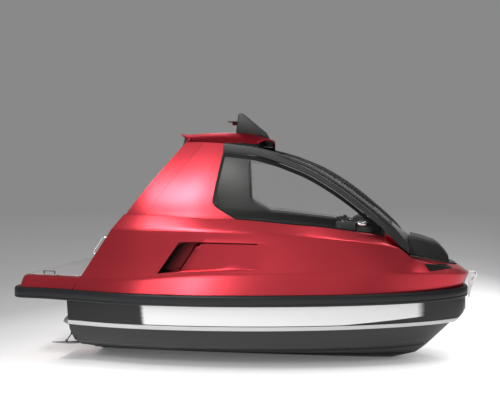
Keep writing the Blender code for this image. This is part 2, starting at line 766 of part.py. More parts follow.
GLASS_END_X = 2.44
GLASS_CORNER_X = 0.084


def make_glazing():
    shares = [-1, -0.75, -0.5, -0.25, 0, 0.25, 0.5, 0.75, 1]

    def screen(x, thick):
        half = smooth(ARCH_Y, x) - ARCH_WIDTH / 2 - 0.006
        outer = [
            Vector((x, half * s, smooth(ARCH_Z, x) + smooth(GLASS_CROWN, x) * (1 - s * s))) for s in shares
        ]
        inner = [Vector((p.x, p.y, p.z - thick)) for p in reversed(outer)]
        return outer + inner

    loft("windshield", [screen(x, 0.014) for x in (0.1004, 0.4, 0.8, 1.2, 1.6, 2.0, 2.3, 2.59)], GLASS)
    loft("cowl", [screen(x, 0.03) for x in (2.5904, 2.74, 2.884)], PALE_GREY)
    rows = []
    onward = [x for x, _ in BELT_Y_AT if GLASS_CORNER_X + 0.01 < x < GLASS_END_X] + [GLASS_END_X]
    columns = [(-0.334, -0.258), (-0.20, -0.15), (-0.06, -0.04), (GLASS_CORNER_X, GLASS_CORNER_X)]
    columns += [(x, x) for x in onward]
    for foot, head in columns:
        _, _, rise = arch_frame(head)
        low = straight(BELT_Z_AT, foot) + 0.0006 + 0.56 * max(GLASS_CORNER_X - foot, 0.0)
        below = ARCH_DEPTH / 2 + mix(0.010, 0.030, ease((head - 2.3) / 0.14))
        high = smooth(ARCH_Z, head) - below * math.sqrt(1 + rise * rise)
        outer = []
        for share in (0, 0.2, 0.4, 0.6, 0.8, 1):
            x, z = mix(foot, head, share), mix(low, high, share)
            outer.append(Vector((x, side_y(x, z) - 0.012, z)))
        inner = [Vector((p.x, p.y - 0.01, p.z)) for p in reversed(outer)]
        rows.append(outer + inner)
    loft("side_glass_port", rows, GLASS)
    loft("side_glass_stbd", [mirrored(row) for row in rows], GLASS)


BULKHEAD_EDGE = [
    (SKIN_FOOT_Z, 0.26), (0.95, 0.26), (0.99, 0.45), (1.30, 0.45), (1.34, 0.30), (1.60, 0.30), (1.80, 0.36),
    (1.93, 0.43),
]


def make_bulkhead():
    """Aft wall of the cabin with its hinged door."""
    x = BULKHEAD[1]
    outline = []
    for z, inward in BULKHEAD_EDGE:
        outline.append((inside_rail(x, inward, z).y, z))
    for z in (1.985, 2.2, 2.45, 2.7, 2.95, 3.15):
        outline.append((side_y(x, z) - PANEL_WALL - 0.010, z))
    for y in (0.60, 0.5, 0.3, 0.0):
        outline.append((y, roof_z(x, y, 0.04, 0.70) - 0.006))
    outline += [(-y, z) for y, z in reversed(outline[:-1])]
    doorway = rounded((-DOOR_HALF, DOOR_Z[0]), (DOOR_HALF, DOOR_Z[1]), 0.06)
    bulkhead = plate("aft_bulkhead", [outline, doorway], *BULKHEAD, LINING, ALONG_X)
    aft, front = BULKHEAD[0] - CLEAR - 0.030, BULKHEAD[0] - CLEAR
    leaf = rounded((-LEAF_HALF, LEAF_Z[0]), (LEAF_HALF, LEAF_Z[1]), 0.06)
    window = rounded((-0.27, 1.55), (0.27, 2.67), 0.05)
    door = plate("cabin_door", [leaf, window], aft, front, BLACK, ALONG_X)
    pane = rounded((-0.27 + TOUCH, 1.55 + TOUCH), (0.27 - TOUCH, 2.67 - TOUCH), 0.05)
    plate("door_glass", [pane], aft + 0.010, aft + 0.018, GLASS, ALONG_X)
    reach, foot = aft - 0.045, aft - TOUCH
    grip = [(foot, 1.34), (reach, 1.34), (reach, 1.56), (foot, 1.56)]
    tube("door_handle", [(x, -0.36, z) for x, z in grip], 0.009, STEEL)
    bracket_z = LEAF_Z[1] + 0.012
    for label, low, high in (("low", DECK_Z + TOUCH, 1.0), ("high", 2.72, bracket_z - TOUCH)):
        pin = rod(f"door_pin_{label}", (*DOOR_HINGE, low), (*DOOR_HINGE, high), 0.010, STEEL, segments=16)
        join(door, pin)
    far_corner = (BULKHEAD[0] + 0.002, 0.45, bracket_z + 0.02)
    join(bulkhead, box("door_bracket", (-1.10, 0.40, bracket_z), far_corner, None))
    for piece in (door, bpy.data.objects["door_glass"], bpy.data.objects["door_handle"]):
        set_axis(piece, (*DOOR_HINGE, 1.85))


LID_HINGE_X = 3.566

# Sections of the bow locker's lid: length, height, half-width at the top and at the foot
LID_PROFILE = [
    (2.892, 1.60, 0.38, 0.44), (3.10, 1.555, 0.34, 0.41), (3.31, 1.49, 0.28, 0.36), (3.40, 1.43, 0.25, 0.32),
    (3.50, 1.318, 0.22, 0.27), (3.56, 1.23, 0.20, 0.24),
]


def make_locker():
    """Bow locker: a coaming plate on the foredeck and its hinged lid."""
    xs = [2.90] + [x for x, _ in BELT_Y_AT if 2.92 < x < 3.70]

    def half(x):
        return straight(BELT_Y_AT, x) + 0.015

    def top(x):
        return straight(BELT_Z_AT, x) + 0.022

    rows = []
    for x in xs:
        low = straight(BELT_Z_AT, x) + 0.0008
        rows.append([
            Vector((x, -half(x), low)), Vector((x, 0.02 - half(x), top(x))),
            Vector((x, half(x) - 0.02, top(x))), Vector((x, half(x), low)),
        ])
    base = loft("locker_coaming", rows, BLACK)
    cut(base, box("locker_mouth", (2.96, -0.25, 0.9), (3.38, 0.25, 1.6), None, group=CUTTERS))

    def lid_rows(places, shrink, drop):
        rows = []
        for place, (x, high, wide, foot) in zip(places, LID_PROFILE):
            low = top(x) + CLEAR - drop
            wide, foot, high = wide - shrink, foot - shrink, high - shrink
            shoulder = Vector((place, mix(foot, wide, 0.85), mix(low, high, 0.85)))
            ring = [Vector((place, foot, low)), shoulder, Vector((place, wide - 0.03, high - 0.006)),
                    Vector((place, wide * 0.5, high))]
            rows.append(ring + list(reversed(mirrored(ring))))
        return rows

    lid = loft("locker_lid", lid_rows([row[0] for row in LID_PROFILE], 0.0, 0.0), BLACK)
    hollow = (2.912, 3.10, 3.30, 3.38, 3.46, 3.50)
    cut(lid, loft("lid_hollow", lid_rows(hollow, 0.02, 0.1), None, group=CUTTERS))
    hinge_z = top(LID_HINGE_X) + 0.0128
    ends = [(LID_HINGE_X, y, hinge_z) for y in (-0.18, 0.18)]
    join(lid, rod("lid_hinge", *ends, 0.012, STEEL, segments=12))
    set_axis(lid, (LID_HINGE_X, 0.0, hinge_z))


FIN_EDGE = [
    (0.30, 3.40), (0.15, 3.52), (0.0, 3.64), (-0.09, 3.72), (-0.14, 3.755), (-0.18, 3.767), (-0.215, 3.76),
    (-0.235, 3.73), (-0.245, 3.62),
]


def make_mast():
    """Fin on the roof, with the plate and lamp on its aft edge."""
    feet = [-0.276] + [x for x, _ in ROOF_LINE if -0.276 < x < 0.36] + [0.36]
    outline = [(x, straight(ROOF_LINE, x) + 0.001) for x in feet] + FIN_EDGE
    fin = plate("mast_fin", [outline], -0.035, 0.035, BLACK, ALONG_Y)
    rounding = fin.modifiers.new("rounded_edges", "BEVEL")
    rounding.width = 0.006
    rounding.segments = 1
    plate("mast_plate", [rounded((-0.42, -0.09), (-0.2478, 0.09), 0.03)], 3.602, 3.617, BLACK)
    dome = rod("mast_lamp", (-0.30, 0.0, 3.6173), (-0.30, 0.0, 3.675), 0.035, LAMP, 0.028, 16)
    dome.modifiers.new("rounded_edges", "BEVEL").width = 0.006


def make_bow_fittings():
    """Lamps let into the body's sides, the bright stem plate and the stowed anchor."""
    corners = [(3.17, 1.145), (3.34, 1.113), (3.52, 1.082), (3.29, 1.073)]
    middle = Vector((3.33, 1.103))
    for side, label in SIDES:

        def rings(shrink, depths):
            rows = []
            for depth in depths:
                ring = []
                for corner in corners:
                    x, z = middle.lerp(Vector(corner), shrink)
                    low_z, high_z = smooth(KNEE_Z, x), smooth(SHOULDER_Z, x)
                    share = (z - low_z) / (high_z - low_z)
                    inward = mix(smooth(KNEE_IN, x), smooth(SHOULDER_IN, x), share)
                    p = inside_rail(x, inward + depth, z)
                    ring.append(Vector((p.x, p.y * side, p.z)))
                rows.append(ring)
            return rows

        pocket = loft(f"lamp_pocket_{label}", rings(1.0, (-0.03, 0.042)), None, group=CUTTERS)
        cut(bpy.data.objects["body_side"], pocket)
        loft(f"bow_lamp_{label}", rings(0.97, (0.004, 0.0415)), BLACK)
    stem = [(3.8160, 0.7163), (3.9149, 0.940), (3.9149, 0.953), (4.03, 0.953), (4.03, 0.939), (3.929, 0.939),
            (3.8310, 0.7163)]
    plate("stem_plate", [stem], -0.05, 0.05, STEEL, ALONG_Y)
    shank = [(3.9005, 0.47), (3.9005, 0.66), (3.955, 0.78), (4.0305, 0.90), (4.0305, 0.96), (4.055, 0.96),
             (4.062, 0.87), (3.985, 0.765), (3.930, 0.655), (3.925, 0.47)]
    plate("anchor", [shank], -0.012, 0.012, STEEL, ALONG_Y)


TRANSOM_FACE = -2.81
TAB_OUT = Vector((TRANSOM_FACE - 0.0094, 1.18, -0.22))
TAB_IN = Vector((TRANSOM_FACE - 0.0094, 0.62, -0.39))
TAB_CHORD = 0.40
RAM_ALONG = 0.14
BRACKET_GAP = 0.034
TAB_DROOP = math.radians(4)


def tab_frame(side):
    """Hinge middle, hinge direction, aft and up directions, and span of a trim tab."""
    out = Vector((TAB_OUT.x, TAB_OUT.y * side, TAB_OUT.z))
    inner = Vector((TAB_IN.x, TAB_IN.y * side, TAB_IN.z))
    along = (out - inner).normalized()
    if side < 0:
        along = -along
    flat_aft = Vector((-1, 0, 0))
    up = flat_aft.cross(along)
    up = up if up.z > 0 else -up
    return (out + inner) / 2, along, flat_aft, up, (out - inner).length


def facing_frame(origin, u, v, w):
    """Matrix that puts a flat outline's u, v and w directions at origin."""
    return Matrix.Translation(origin) @ Matrix((
        (u.x, v.x, w.x, 0), (u.y, v.y, w.y, 0), (u.z, v.z, w.z, 0), (0, 0, 0, 1),
    ))


def make_trim_tabs():
    """Trim tabs, each with its actuator on a pin between the two cheeks of a bracket."""
    for side, label in SIDES:
        middle, along, flat_aft, up, span = tab_frame(side)
        aft = flat_aft * math.cos(TAB_DROOP) - up * math.sin(TAB_DROOP)
        normal = up * math.cos(TAB_DROOP) + flat_aft * math.sin(TAB_DROOP)
        matrix = facing_frame(middle, aft, along, normal)
        sheet = rounded((0.0, -span / 2), (TAB_CHORD, span / 2), 0.03)
        tab = plate(f"trim_tab_{label}", [sheet], -0.005, 0.005, STEEL, matrix)
        reach = along * (span / 2 - 0.02)
        join(tab, rod(f"tab_barrel_{label}", middle - reach, middle + reach, 0.009, STEEL, segments=12))
        ear = middle + aft * 0.20 + normal * 0.034 + along * (RAM_ALONG * side)
        near, far = sorted((-side * (RAM_ALONG + 0.0097), -side * (RAM_ALONG + 0.025)))
        upright = facing_frame(middle, aft, normal, -along)
        lug = [(0.17, 0.003), (0.23, 0.003), (0.21, 0.045), (0.19, 0.045)]
        join(tab, plate(f"tab_lug_{label}", [lug], near, far, STEEL, upright))
        top = middle + flat_aft * 0.055 + up * 0.272 + along * (RAM_ALONG * side)
        down = (ear - top).normalized()
        barrel = rod(f"tab_actuator_{label}", top, top + down * 0.17, 0.022, BLACK, segments=14)
        pin = along * (BRACKET_GAP - TOUCH)
        join(barrel, rod(f"actuator_eye_{label}", top - along * 0.022, top + along * 0.022, 0.024, BLACK))
        join(barrel, rod(f"actuator_pin_{label}", top - pin, top + pin, 0.010, STEEL, segments=16))
        face = Vector((TRANSOM_FACE, top.y, top.z))
        near, far, outside = TOUCH, 0.080, BRACKET_GAP + 0.012
        channel = [
            (near, -outside), (far, -outside), (far, -BRACKET_GAP), (0.012, -BRACKET_GAP),
            (0.012, BRACKET_GAP), (far, BRACKET_GAP), (far, outside), (near, outside),
        ]
        plate(f"tab_bracket_{label}", [channel], -0.02, 0.02, STEEL, facing_frame(face, flat_aft, along, up))
        ram = rod(f"tab_ram_{label}", top + down * 0.1703, ear - down * 0.002, 0.009, STEEL, segments=12)
        set_axis(tab, middle)
        set_axis(barrel, top)
        set_axis(ram, top)


JET_Z = -0.22


def turned(name, profile, paint, x):
    """Ring turned about the jet's centreline from (along, radius) points, its origin at x."""
    mesh = bpy.data.meshes.new(name)
    points = [(along, 0.0, radius) for along, radius in profile]
    edges = [(i, (i + 1) % len(points)) for i in range(len(points))]
    mesh.from_pydata(points, edges, [])
    obj = add(name, mesh, paint)
    obj.location = (x, 0.0, JET_Z)
    screw = obj.modifiers.new("turned", "SCREW")
    screw.axis = "X"
    screw.steps = screw.render_steps = 24
    screw.use_merge_vertices = True
    screw.merge_threshold = 0.0001
    return obj


NOZZLE_X = -3.25
BUCKET_X = -3.33


def make_jet():
    """Jet housing, the steering nozzle on its trunnions, and the reverse bucket."""
    housing = turned(
        "jet_housing",
        [(0.0, 0.235), (-0.03, 0.235), (-0.03, 0.21), (-0.20, 0.20), (-0.315, 0.128), (-0.42, 0.124),
         (-0.42, 0.108), (-0.33, 0.109), (-0.22, 0.158), (0.0, 0.172)],
        ALLOY, TRANSOM_FACE - TOUCH,
    )
    nozzle = turned(
        "steering_nozzle",
        [(0.03, 0.178), (-0.06, 0.176), (-0.24, 0.135), (-0.24, 0.120), (-0.06, 0.160), (0.03, 0.163)],
        BLACK, NOZZLE_X,
    )
    for sign, label in ((-1, "low"), (1, "high")):
        near, far = sorted((JET_Z + 0.185 * sign, JET_Z + 0.205 * sign))
        arm = box(f"steering_arm_{label}", (NOZZLE_X - 0.028, -0.03, near), (-2.98, 0.03, far), ALLOY)
        join(housing, arm)
        trunnion = [(NOZZLE_X, 0.0, JET_Z + reach * sign) for reach in (0.168, 0.207)]
        join(nozzle, rod(f"trunnion_{label}", *trunnion, 0.012, STEEL, segments=16))
        boss = [(BUCKET_X, reach * sign, JET_Z) for reach in (0.150, 0.188)]
        join(nozzle, rod(f"bucket_boss_{label}", *boss, 0.022, STEEL, segments=16))
        pin = [(BUCKET_X, reach * sign, JET_Z) for reach in (0.17, 0.212)]
        join(nozzle, rod(f"bucket_pin_{label}", *pin, 0.010, STEEL, segments=16))
    upright = [(NOZZLE_X, 0.0, JET_Z + reach) for reach in (-0.4, 0.4)]
    cut(housing, rod("trunnion_hole", *upright, 0.0128, None, segments=16))
    arc = [math.radians(22 + 12 * i) for i in range(7)]
    outer = [(BUCKET_X - 0.262 * math.cos(a), JET_Z + 0.262 * math.sin(a)) for a in arc]
    inner = [(BUCKET_X - 0.247 * math.cos(a), JET_Z + 0.247 * math.sin(a)) for a in reversed(arc)]
    bucket = plate("reverse_bucket", [outer + inner], -0.205, 0.205, ALLOY, ALONG_Y)
    cheek = [(BUCKET_X + 0.03, JET_Z), (BUCKET_X, JET_Z - 0.03)] + outer
    for side, label in SIDES:
        low, high = (0.193, 0.207) if side > 0 else (-0.207, -0.193)
        join(bucket, plate(f"bucket_cheek_{label}", [cheek], low, high, ALLOY, ALONG_Y))
    across = [(BUCKET_X, y, JET_Z) for y in (-0.3, 0.3)]
    cut(bucket, rod("bucket_pin_hole", *across, 0.0108, None, segments=16))
    set_axis(bucket, (BUCKET_X, 0.0, JET_Z))


# Sections of the dashboard: length, lower and upper height, distance in from the rail's edge
DASH_SECTIONS = [
    (1.62, 1.30, 1.70, 0.46), (1.75, 1.10, 1.70, 0.50), (2.15, 1.00, 1.60, 0.56), (2.50, 1.00, 1.40, 0.62),
]
WHEEL_CENTRE = Vector((1.47, -0.60, 1.58))
WHEEL_RADIUS = 0.17
SOLE_TOP = 0.6603
SEAT_PROFILE = [
    (0.42, SOLE_TOP), (0.80, SOLE_TOP), (0.80, 0.98), (0.95, 1.02), (0.96, 1.12), (0.42, 1.10), (0.34, 1.72),
    (0.24, 1.72), (0.30, 1.02), (0.42, 0.98),
]
BENCH_PROFILE = [
    (-0.97, SOLE_TOP), (-0.45, SOLE_TOP), (-0.42, 1.08), (-0.84, 1.10), (-0.90, 1.62), (-0.97, 1.62),
]


def make_dashboard():
    rows = []
    for x, low, high, inward in DASH_SECTIONS:
        y = inside_rail(x, inward, 0).y
        ring = [
            Vector((x, y * 0.92, low)), Vector((x, y, mix(low, high, 0.6))),
            Vector((x, y * 0.97, high - 0.03)), Vector((x, y * 0.9, high)),
        ]
        rows.append(ring + list(reversed(mirrored(ring))))
    dash = loft("dashboard", rows, LINING)
    join(dash, box("dash_foot", (2.0, -0.55, SOLE_TOP), (2.4, 0.55, 1.2), LINING))
    join(dash, box("helm_binnacle", (1.66, -0.76, 1.60), (2.00, -0.44, 1.86), LINING, 0.03))


def make_wheel():
    """Steering wheel on the starboard side, its column ending on the binnacle."""
    place = Matrix.Translation(WHEEL_CENTRE) @ Matrix.Rotation(math.radians(-62), 4, "Y")

    def spot(radius, angle, along=0.0):
        return place @ Vector((radius * math.cos(angle), radius * math.sin(angle), along))

    rim = [spot(WHEEL_RADIUS, math.pi / 8 * i) for i in range(16)]
    wheel = tube("steering_wheel", rim, 0.014, LEATHER, cyclic=True)
    join(wheel, rod("wheel_hub", spot(0, 0, 0.02), spot(0, 0, -0.04), 0.04, BLACK, segments=14))
    join(wheel, rod("wheel_column", spot(0, 0), spot(0, 0, -0.1588), 0.02, BLACK, segments=12))
    for i in range(3):
        angle = math.pi / 2 + math.pi * 2 / 3 * i
        spoke = rod(f"wheel_spoke_{i}", spot(0.02, angle), spot(0.168, angle), 0.009, ALLOY, segments=8)
        join(wheel, spoke)
    set_axis(wheel, WHEEL_CENTRE)


def make_seats():
    for side, label in SIDES:
        low, high = sorted((0.41 * side, 0.95 * side))
        plate(f"helm_seat_{label}", [SEAT_PROFILE], low, high, LEATHER, ALONG_Y)
        low, high = sorted((0.45 * side, 1.08 * side))
        plate(f"bench_{label}", [BENCH_PROFILE], low, high, LEATHER, ALONG_Y)


def make_wiper():
    points = []
    for i in range(7):
        x = mix(1.13, 2.27, i / 6)
        points.append(Vector((x, -0.04, smooth(ARCH_Z, x) + smooth(GLASS_CROWN, x) + 0.0134)))
    tube("wiper", points, 0.008, BLACK)


def make_deck_fittings():
    """Handrails on the side walls' slanted aft faces, and cleats on the platform."""
    low = lean_point(BODY_AFT_X, KNEE_Z, KNEE_IN)
    high = lean_point(BODY_AFT_X, SHOULDER_Z, SHOULDER_IN)

    def aft_face(z, more=SKIN / 2):
        x = lean_x(BODY_AFT_X, z)
        share = (z - low.z) / (high.z - low.z)
        return inboard(x, mix(smooth(KNEE_IN, low.x), smooth(SHOULDER_IN, high.x), share) + more, z)

    for side, label in SIDES:
        path = []
        for z, out in ((1.30, 0.001), (1.30, 0.05), (1.32, 0.06), (1.56, 0.06), (1.58, 0.05), (1.58, 0.001)):
            across = aft_face(z, SKIN) - aft_face(z, 0.0)
            normal = across.cross(aft_face(z + 0.05) - aft_face(z - 0.05)).normalized()
            p = aft_face(z) + normal * (out if normal.x < 0 else -out)
            path.append(Vector((p.x, p.y * side, p.z)))
        tube(f"handrail_{label}", path, 0.011, STEEL)
        horns = [(-3.42, 0.9155), (-3.42, 0.96), (-3.22, 0.96), (-3.22, 0.9155)]
        tube(f"stern_cleat_{label}", [(x, 1.08 * side, z) for x, z in horns], 0.010, BLACK)


make_hull()
make_hull_trim()
make_rub_rail()
make_platform()
make_cockpit()
make_body()
make_upper_sides()
make_roof()
make_arches()
make_glazing()
make_bulkhead()
make_locker()
make_mast()
make_bow_fittings()
make_trim_tabs()
make_jet()
make_dashboard()
make_wheel()
make_seats()
make_wiper()
make_deck_fittings()
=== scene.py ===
"""Dresses a capsule-cabin jet boat for a pale studio: fine skins, fittings, finishes, lights and camera.

Metres, +X to the bow, +Y to port, +Z up, with the origin on the centreline at the waterline.
"""

import bisect
import functools
import math

import bmesh
import bpy
from bpy.props import FloatProperty, FloatVectorProperty, IntProperty
from mathutils import Matrix, Vector
from mathutils.bvhtree import BVHTree


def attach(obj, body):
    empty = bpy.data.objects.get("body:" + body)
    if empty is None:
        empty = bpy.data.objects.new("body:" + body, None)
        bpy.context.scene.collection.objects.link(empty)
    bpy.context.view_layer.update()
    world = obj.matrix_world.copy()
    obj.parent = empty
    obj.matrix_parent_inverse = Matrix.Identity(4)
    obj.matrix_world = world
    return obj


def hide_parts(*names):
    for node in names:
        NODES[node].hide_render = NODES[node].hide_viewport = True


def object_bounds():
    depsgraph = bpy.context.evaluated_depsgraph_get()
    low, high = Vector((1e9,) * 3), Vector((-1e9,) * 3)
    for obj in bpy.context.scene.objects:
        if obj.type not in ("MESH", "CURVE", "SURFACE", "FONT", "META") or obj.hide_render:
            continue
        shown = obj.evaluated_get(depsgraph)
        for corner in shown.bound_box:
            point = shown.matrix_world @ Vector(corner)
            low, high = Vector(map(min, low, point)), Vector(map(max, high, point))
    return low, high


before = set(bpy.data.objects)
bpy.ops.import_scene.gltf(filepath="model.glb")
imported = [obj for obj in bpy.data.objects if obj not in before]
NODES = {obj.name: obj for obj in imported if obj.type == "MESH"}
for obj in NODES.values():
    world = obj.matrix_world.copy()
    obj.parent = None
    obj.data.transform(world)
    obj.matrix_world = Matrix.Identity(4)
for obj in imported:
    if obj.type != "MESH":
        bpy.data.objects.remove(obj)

bl_info = {
    "name": "Jet boat dressing",
    "version": (1, 0, 0),
    "blender": (4, 5, 0),
    "location": "View3D > Sidebar > Jet boat",
    "description": "Builds the painted skins, fittings, finishes and studio of a capsule-cabin jet boat",
    "category": "Object",
}

CAD_BOX = [list(corner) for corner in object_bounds()]
SIDES = ((-1, "stbd"), (1, "port"))

# Lines of the hull and body, the same as the solids follow
HALF_LENGTH, HALF_BEAM, BEAM_X = 3.90, 1.71, -0.70
STERN_HALF, STERN_RADIUS, SIDE_TUCK, TUCK_START = 1.12, 0.26, 0.33, -1.40
TRANSOM_X, KEEL_Z, KEEL_END_X, FOREFOOT_RADIUS, STEM_X = -2.83, -0.60, 2.60, 0.80, 3.848
CHINE_Z, STRIPE_TOP_Z, BAND_LOW_Z, TOPSIDE_KNOT_Z = 0.115, 0.19, 0.20, 0.311
RAIL_LOW, RAIL_HIGH, RAIL_DEPTH = 0.538, 0.715, 0.09
HULL_TOP_Z, SKIN_FOOT_Z, SLANT_Z, SLANT = 0.6247, 0.6253, 0.7156, 0.70
TOUCH, SHARED, SKIN = 0.0003, 0.0025, 0.06
BODY_AFT_X, PANEL_WALL, PANEL_GAP, DECK_Z = -2.714, 0.055, 0.0008, 0.905
KNEE_Z = [
    (-2.6, 0.885), (-1.5, 0.92), (-0.8, 0.985), (0.0, 1.02), (1.8, 1.04), (2.8, 1.03), (3.3, 1.01),
    (3.9, 0.94),
]
KNEE_IN = [(-2.6, 0.14), (-1.5, 0.17), (0.0, 0.19), (1.5, 0.17), (2.8, 0.08), (3.9, -0.014)]
SHOULDER_Z = [
    (-2.6, 1.70), (-1.9, 1.743), (-0.9, 1.741), (0.35, 1.70), (1.0, 1.654), (1.8, 1.586),
    (2.3, 1.53), (2.8, 1.43), (2.9, 1.37), (3.05, 1.235), (3.4, 1.14), (3.6, 1.08), (3.9, 0.99),
]
SHOULDER_IN = [(-2.6, 0.22), (-0.9, 0.21), (0.35, 0.20), (1.8, 0.21), (2.7, 0.22), (3.3, 0.17), (3.9, 0.06)]
BELT_Z = [
    (-2.6, 1.985), (-1.5, 1.97), (-0.35, 1.915), (0.08, 1.905), (1.1, 1.815), (1.45, 1.785), (2.15, 1.685),
    (2.6, 1.61), (2.85, 1.40), (3.05, 1.26), (3.4, 1.20), (3.9, 1.075),
]
BELT_IN = [
    (-2.6, 0.36), (-0.9, 0.34), (0.08, 0.355), (1.1, 0.335), (1.45, 0.345), (2.15, 0.40),
    (2.6, 0.46), (2.85, 0.47), (3.05, 0.45), (3.4, 0.36), (3.9, 0.18),
]
ARCH_Y = [
    (-1.0, 0.70), (-0.6, 0.73), (-0.215, 0.78), (0.227, 0.79), (0.669, 0.80), (1.62, 0.80),
    (1.885, 0.77), (2.142, 0.72), (2.38, 0.66), (2.603, 0.60), (2.739, 0.55), (2.912, 0.50),
]
ARCH_Z = [
    (-1.0, 3.24), (-0.6, 3.205), (-0.215, 3.10), (0.227, 3.046), (0.669, 2.932), (0.934, 2.834),
    (1.204, 2.721), (1.62, 2.481), (1.885, 2.295), (2.142, 2.09), (2.38, 1.891), (2.603, 1.682),
    (2.739, 1.508), (2.912, 1.287),
]
ARCH_WIDTH, ARCH_DEPTH = 0.11, 0.15
ROOF_CROWN = [(-1.13, 3.36), (-0.7, 3.395), (-0.2, 3.40), (0.1, 3.37), (0.38, 3.28)]
ROOF_RIM = [
    (-1.13, 3.352), (-1.10, 3.345), (-0.93, 3.237), (-0.6, 3.21), (-0.3, 3.185), (0.0, 3.185), (0.38, 3.145),
]
ROOF_XS = (-1.13, -1.06, -0.96, -0.8, -0.6, -0.4, -0.2, 0.1, 0.28)
WINDOW_CORNER_Z = (1.905, 2.14)
GLASS_CROWN = [(0.1, 0.05), (1.5, 0.06), (2.3, 0.08), (2.59, 0.10), (2.886, 0.26)]
INTAKE_DEPTH = [(-1.383, 0.0), (-1.373, 0.17), (-1.12, 0.17), (-1.05, 0.075), (0.34, 0.0)]
BOTTOM = [
    (0.105, 0.0), (0.30, 0.137), (0.335, 0.141), (0.338, 0.160), (0.55, 0.297),
    (0.66, 0.378), (0.695, 0.382), (0.698, 0.408), (0.85, 0.559), (0.95, 0.79),
]


class BoatPaint(bpy.types.PropertyGroup):
    """Colours of the boat's finishes."""

    red: FloatVectorProperty(
        name="Hull red", description="Metallic red of the cabin and sides", subtype="COLOR", size=3,
        min=0.0, max=1.0, default=(0.54, 0.035, 0.051),
    )
    bottom: FloatVectorProperty(
        name="Bottom grey", description="Satin paint below the chine", subtype="COLOR", size=3,
        min=0.0, max=1.0, default=(0.016, 0.016, 0.017),
    )
    # Colour of the painted reflection along the band's middle.
    band: FloatVectorProperty(
        name="Band painted reflection", description="Bright middle of the topside band", subtype="COLOR", size=3,
        min=0.0, max=1.0, default=(0.75, 0.75, 0.76),
    )
    stripe: FloatVectorProperty(
        name="Stripe grey", description="Spray rail along the chine", subtype="COLOR", size=3,
        min=0.0, max=1.0, default=(0.52, 0.52, 0.52),
    )
    gloss: FloatVectorProperty(
        name="Arch grey", description="Roof arches, hood and fittings", subtype="COLOR", size=3,
        min=0.0, max=1.0, default=(0.015, 0.015, 0.016),
    )
    rubber: FloatVectorProperty(
        name="Rail grey", description="Rubber rail round the deck edge", subtype="COLOR", size=3,
        min=0.0, max=1.0, default=(0.008, 0.009, 0.010),
    )
    deck: FloatVectorProperty(
        name="Planking grey", description="Planks of the platform and cockpit", subtype="COLOR", size=3,
        min=0.0, max=1.0, default=(0.40, 0.39, 0.39),
    )
    leather: FloatVectorProperty(
        name="Seat leather", description="Seats, benches and wheel", subtype="COLOR", size=3,
        min=0.0, max=1.0, default=(0.10, 0.085, 0.075),
    )


class BoatTrim(bpy.types.PropertyGroup):
    """Sizes of trim that the solids leave out."""

    plank: FloatProperty(
        name="Plank width", description="Distance between the planking's seams", default=0.085, min=0.03,
        unit="LENGTH",
    )
    crease: FloatProperty(
        name="Crease radius", description="Softness of the body's long creases", default=0.06, min=0.005,
        unit="LENGTH",
    )
    frit: FloatProperty(
        name="Glass border", description="Black border inside each pane's edge", default=0.035, min=0.005,
        unit="LENGTH",
    )
    stations: IntProperty(
        name="Bow stations", description="Sections of the fine skins from the widest beam to the bow",
        default=64, min=16, max=160,
    )


class BoatStudio(bpy.types.PropertyGroup):
    """Camera and lights."""

    focal: FloatProperty(name="Focal length", description="Lens in millimetres", default=46.21, min=10.0)
    shift: FloatVectorProperty(name="Lens shift", description="Sideways and upward shift", size=2,
                               default=(-0.15, -0.051))
    yaw: FloatProperty(name="Camera turn", description="Turn of the view towards the stern",
                       default=math.radians(8.0), subtype="ANGLE")
    place: FloatVectorProperty(name="Camera place", description="Where the camera stands",
                               subtype="TRANSLATION",
                               unit="LENGTH", default=(2.99, -11.486, 2.64))
    backdrop: FloatVectorProperty(name="Backdrop", description="Grey of the backdrop",
                                  subtype="COLOR", size=3,
                                  min=0.0, max=1.0, default=(0.25, 0.25, 0.25))
    key: FloatProperty(name="Key lights", description="Power of each round light off the quarters",
                       default=470.0, min=0.0, unit="POWER")
    low: FloatProperty(name="Low key share", description="Share of the key light's power in the lower light",
                       default=0.5, min=0.0, max=2.0)
    far: FloatProperty(name="Port share", description="Share of the key light's power to port", default=0.15,
                       min=0.0, max=1.0)
    front: FloatProperty(name="Side boxes", description="Power of the large softbox off each side",
                         default=160.0, min=0.0, unit="POWER")
    streak: FloatProperty(name="Shoulder lights",
                          description="Power of each narrow light over the bow's shoulders",
                          default=95.0, min=0.0, unit="POWER")
    bow: FloatProperty(name="Bow lights", description="Power of each round light off the bow", default=62.0,
                       min=0.0, unit="POWER")
    cabin: FloatProperty(name="Cabin lights", description="Power of each small light in the cabin",
                         default=40.0,
                         min=0.0, unit="POWER")
    top: FloatProperty(name="Top light", description="Power of the overhead softbox", default=150.0, min=0.0,
                       unit="POWER")


def smooth(points, x):
    """Height at x of a smooth curve through (x, height) points, level past its ends."""
    xs = [p[0] for p in points]
    ys = [p[1] for p in points]
    if x <= xs[0]:
        return ys[0]
    if x >= xs[-1]:
        return ys[-1]
    rises = [(ys[i + 1] - ys[i]) / (xs[i + 1] - xs[i]) for i in range(len(xs) - 1)]

    def slope(i):
        before = rises[max(i - 1, 0)]
        after = rises[min(i, len(rises) - 1)]
        return 2 * before * after / (before + after) if before * after > 0 else 0.0

    i = bisect.bisect_right(xs, x) - 1
    width = xs[i + 1] - xs[i]
    t = (x - xs[i]) / width
    return (
        ys[i] * (1 + 2 * t) * (1 - t) ** 2
        + ys[i + 1] * t * t * (3 - 2 * t)
        + slope(i) * width * t * (1 - t) ** 2
        - slope(i + 1) * width * t * t * (1 - t)
    )


def straight(points, x):
    """Height at x of the broken line through (x, height) points."""
    xs = [p[0] for p in points]
    i = min(max(bisect.bisect_right(xs, x) - 1, 0), len(xs) - 2)
    t = min(max((x - xs[i]) / (xs[i + 1] - xs[i]), 0.0), 1.0)
    return points[i][1] + t * (points[i + 1][1] - points[i][1])


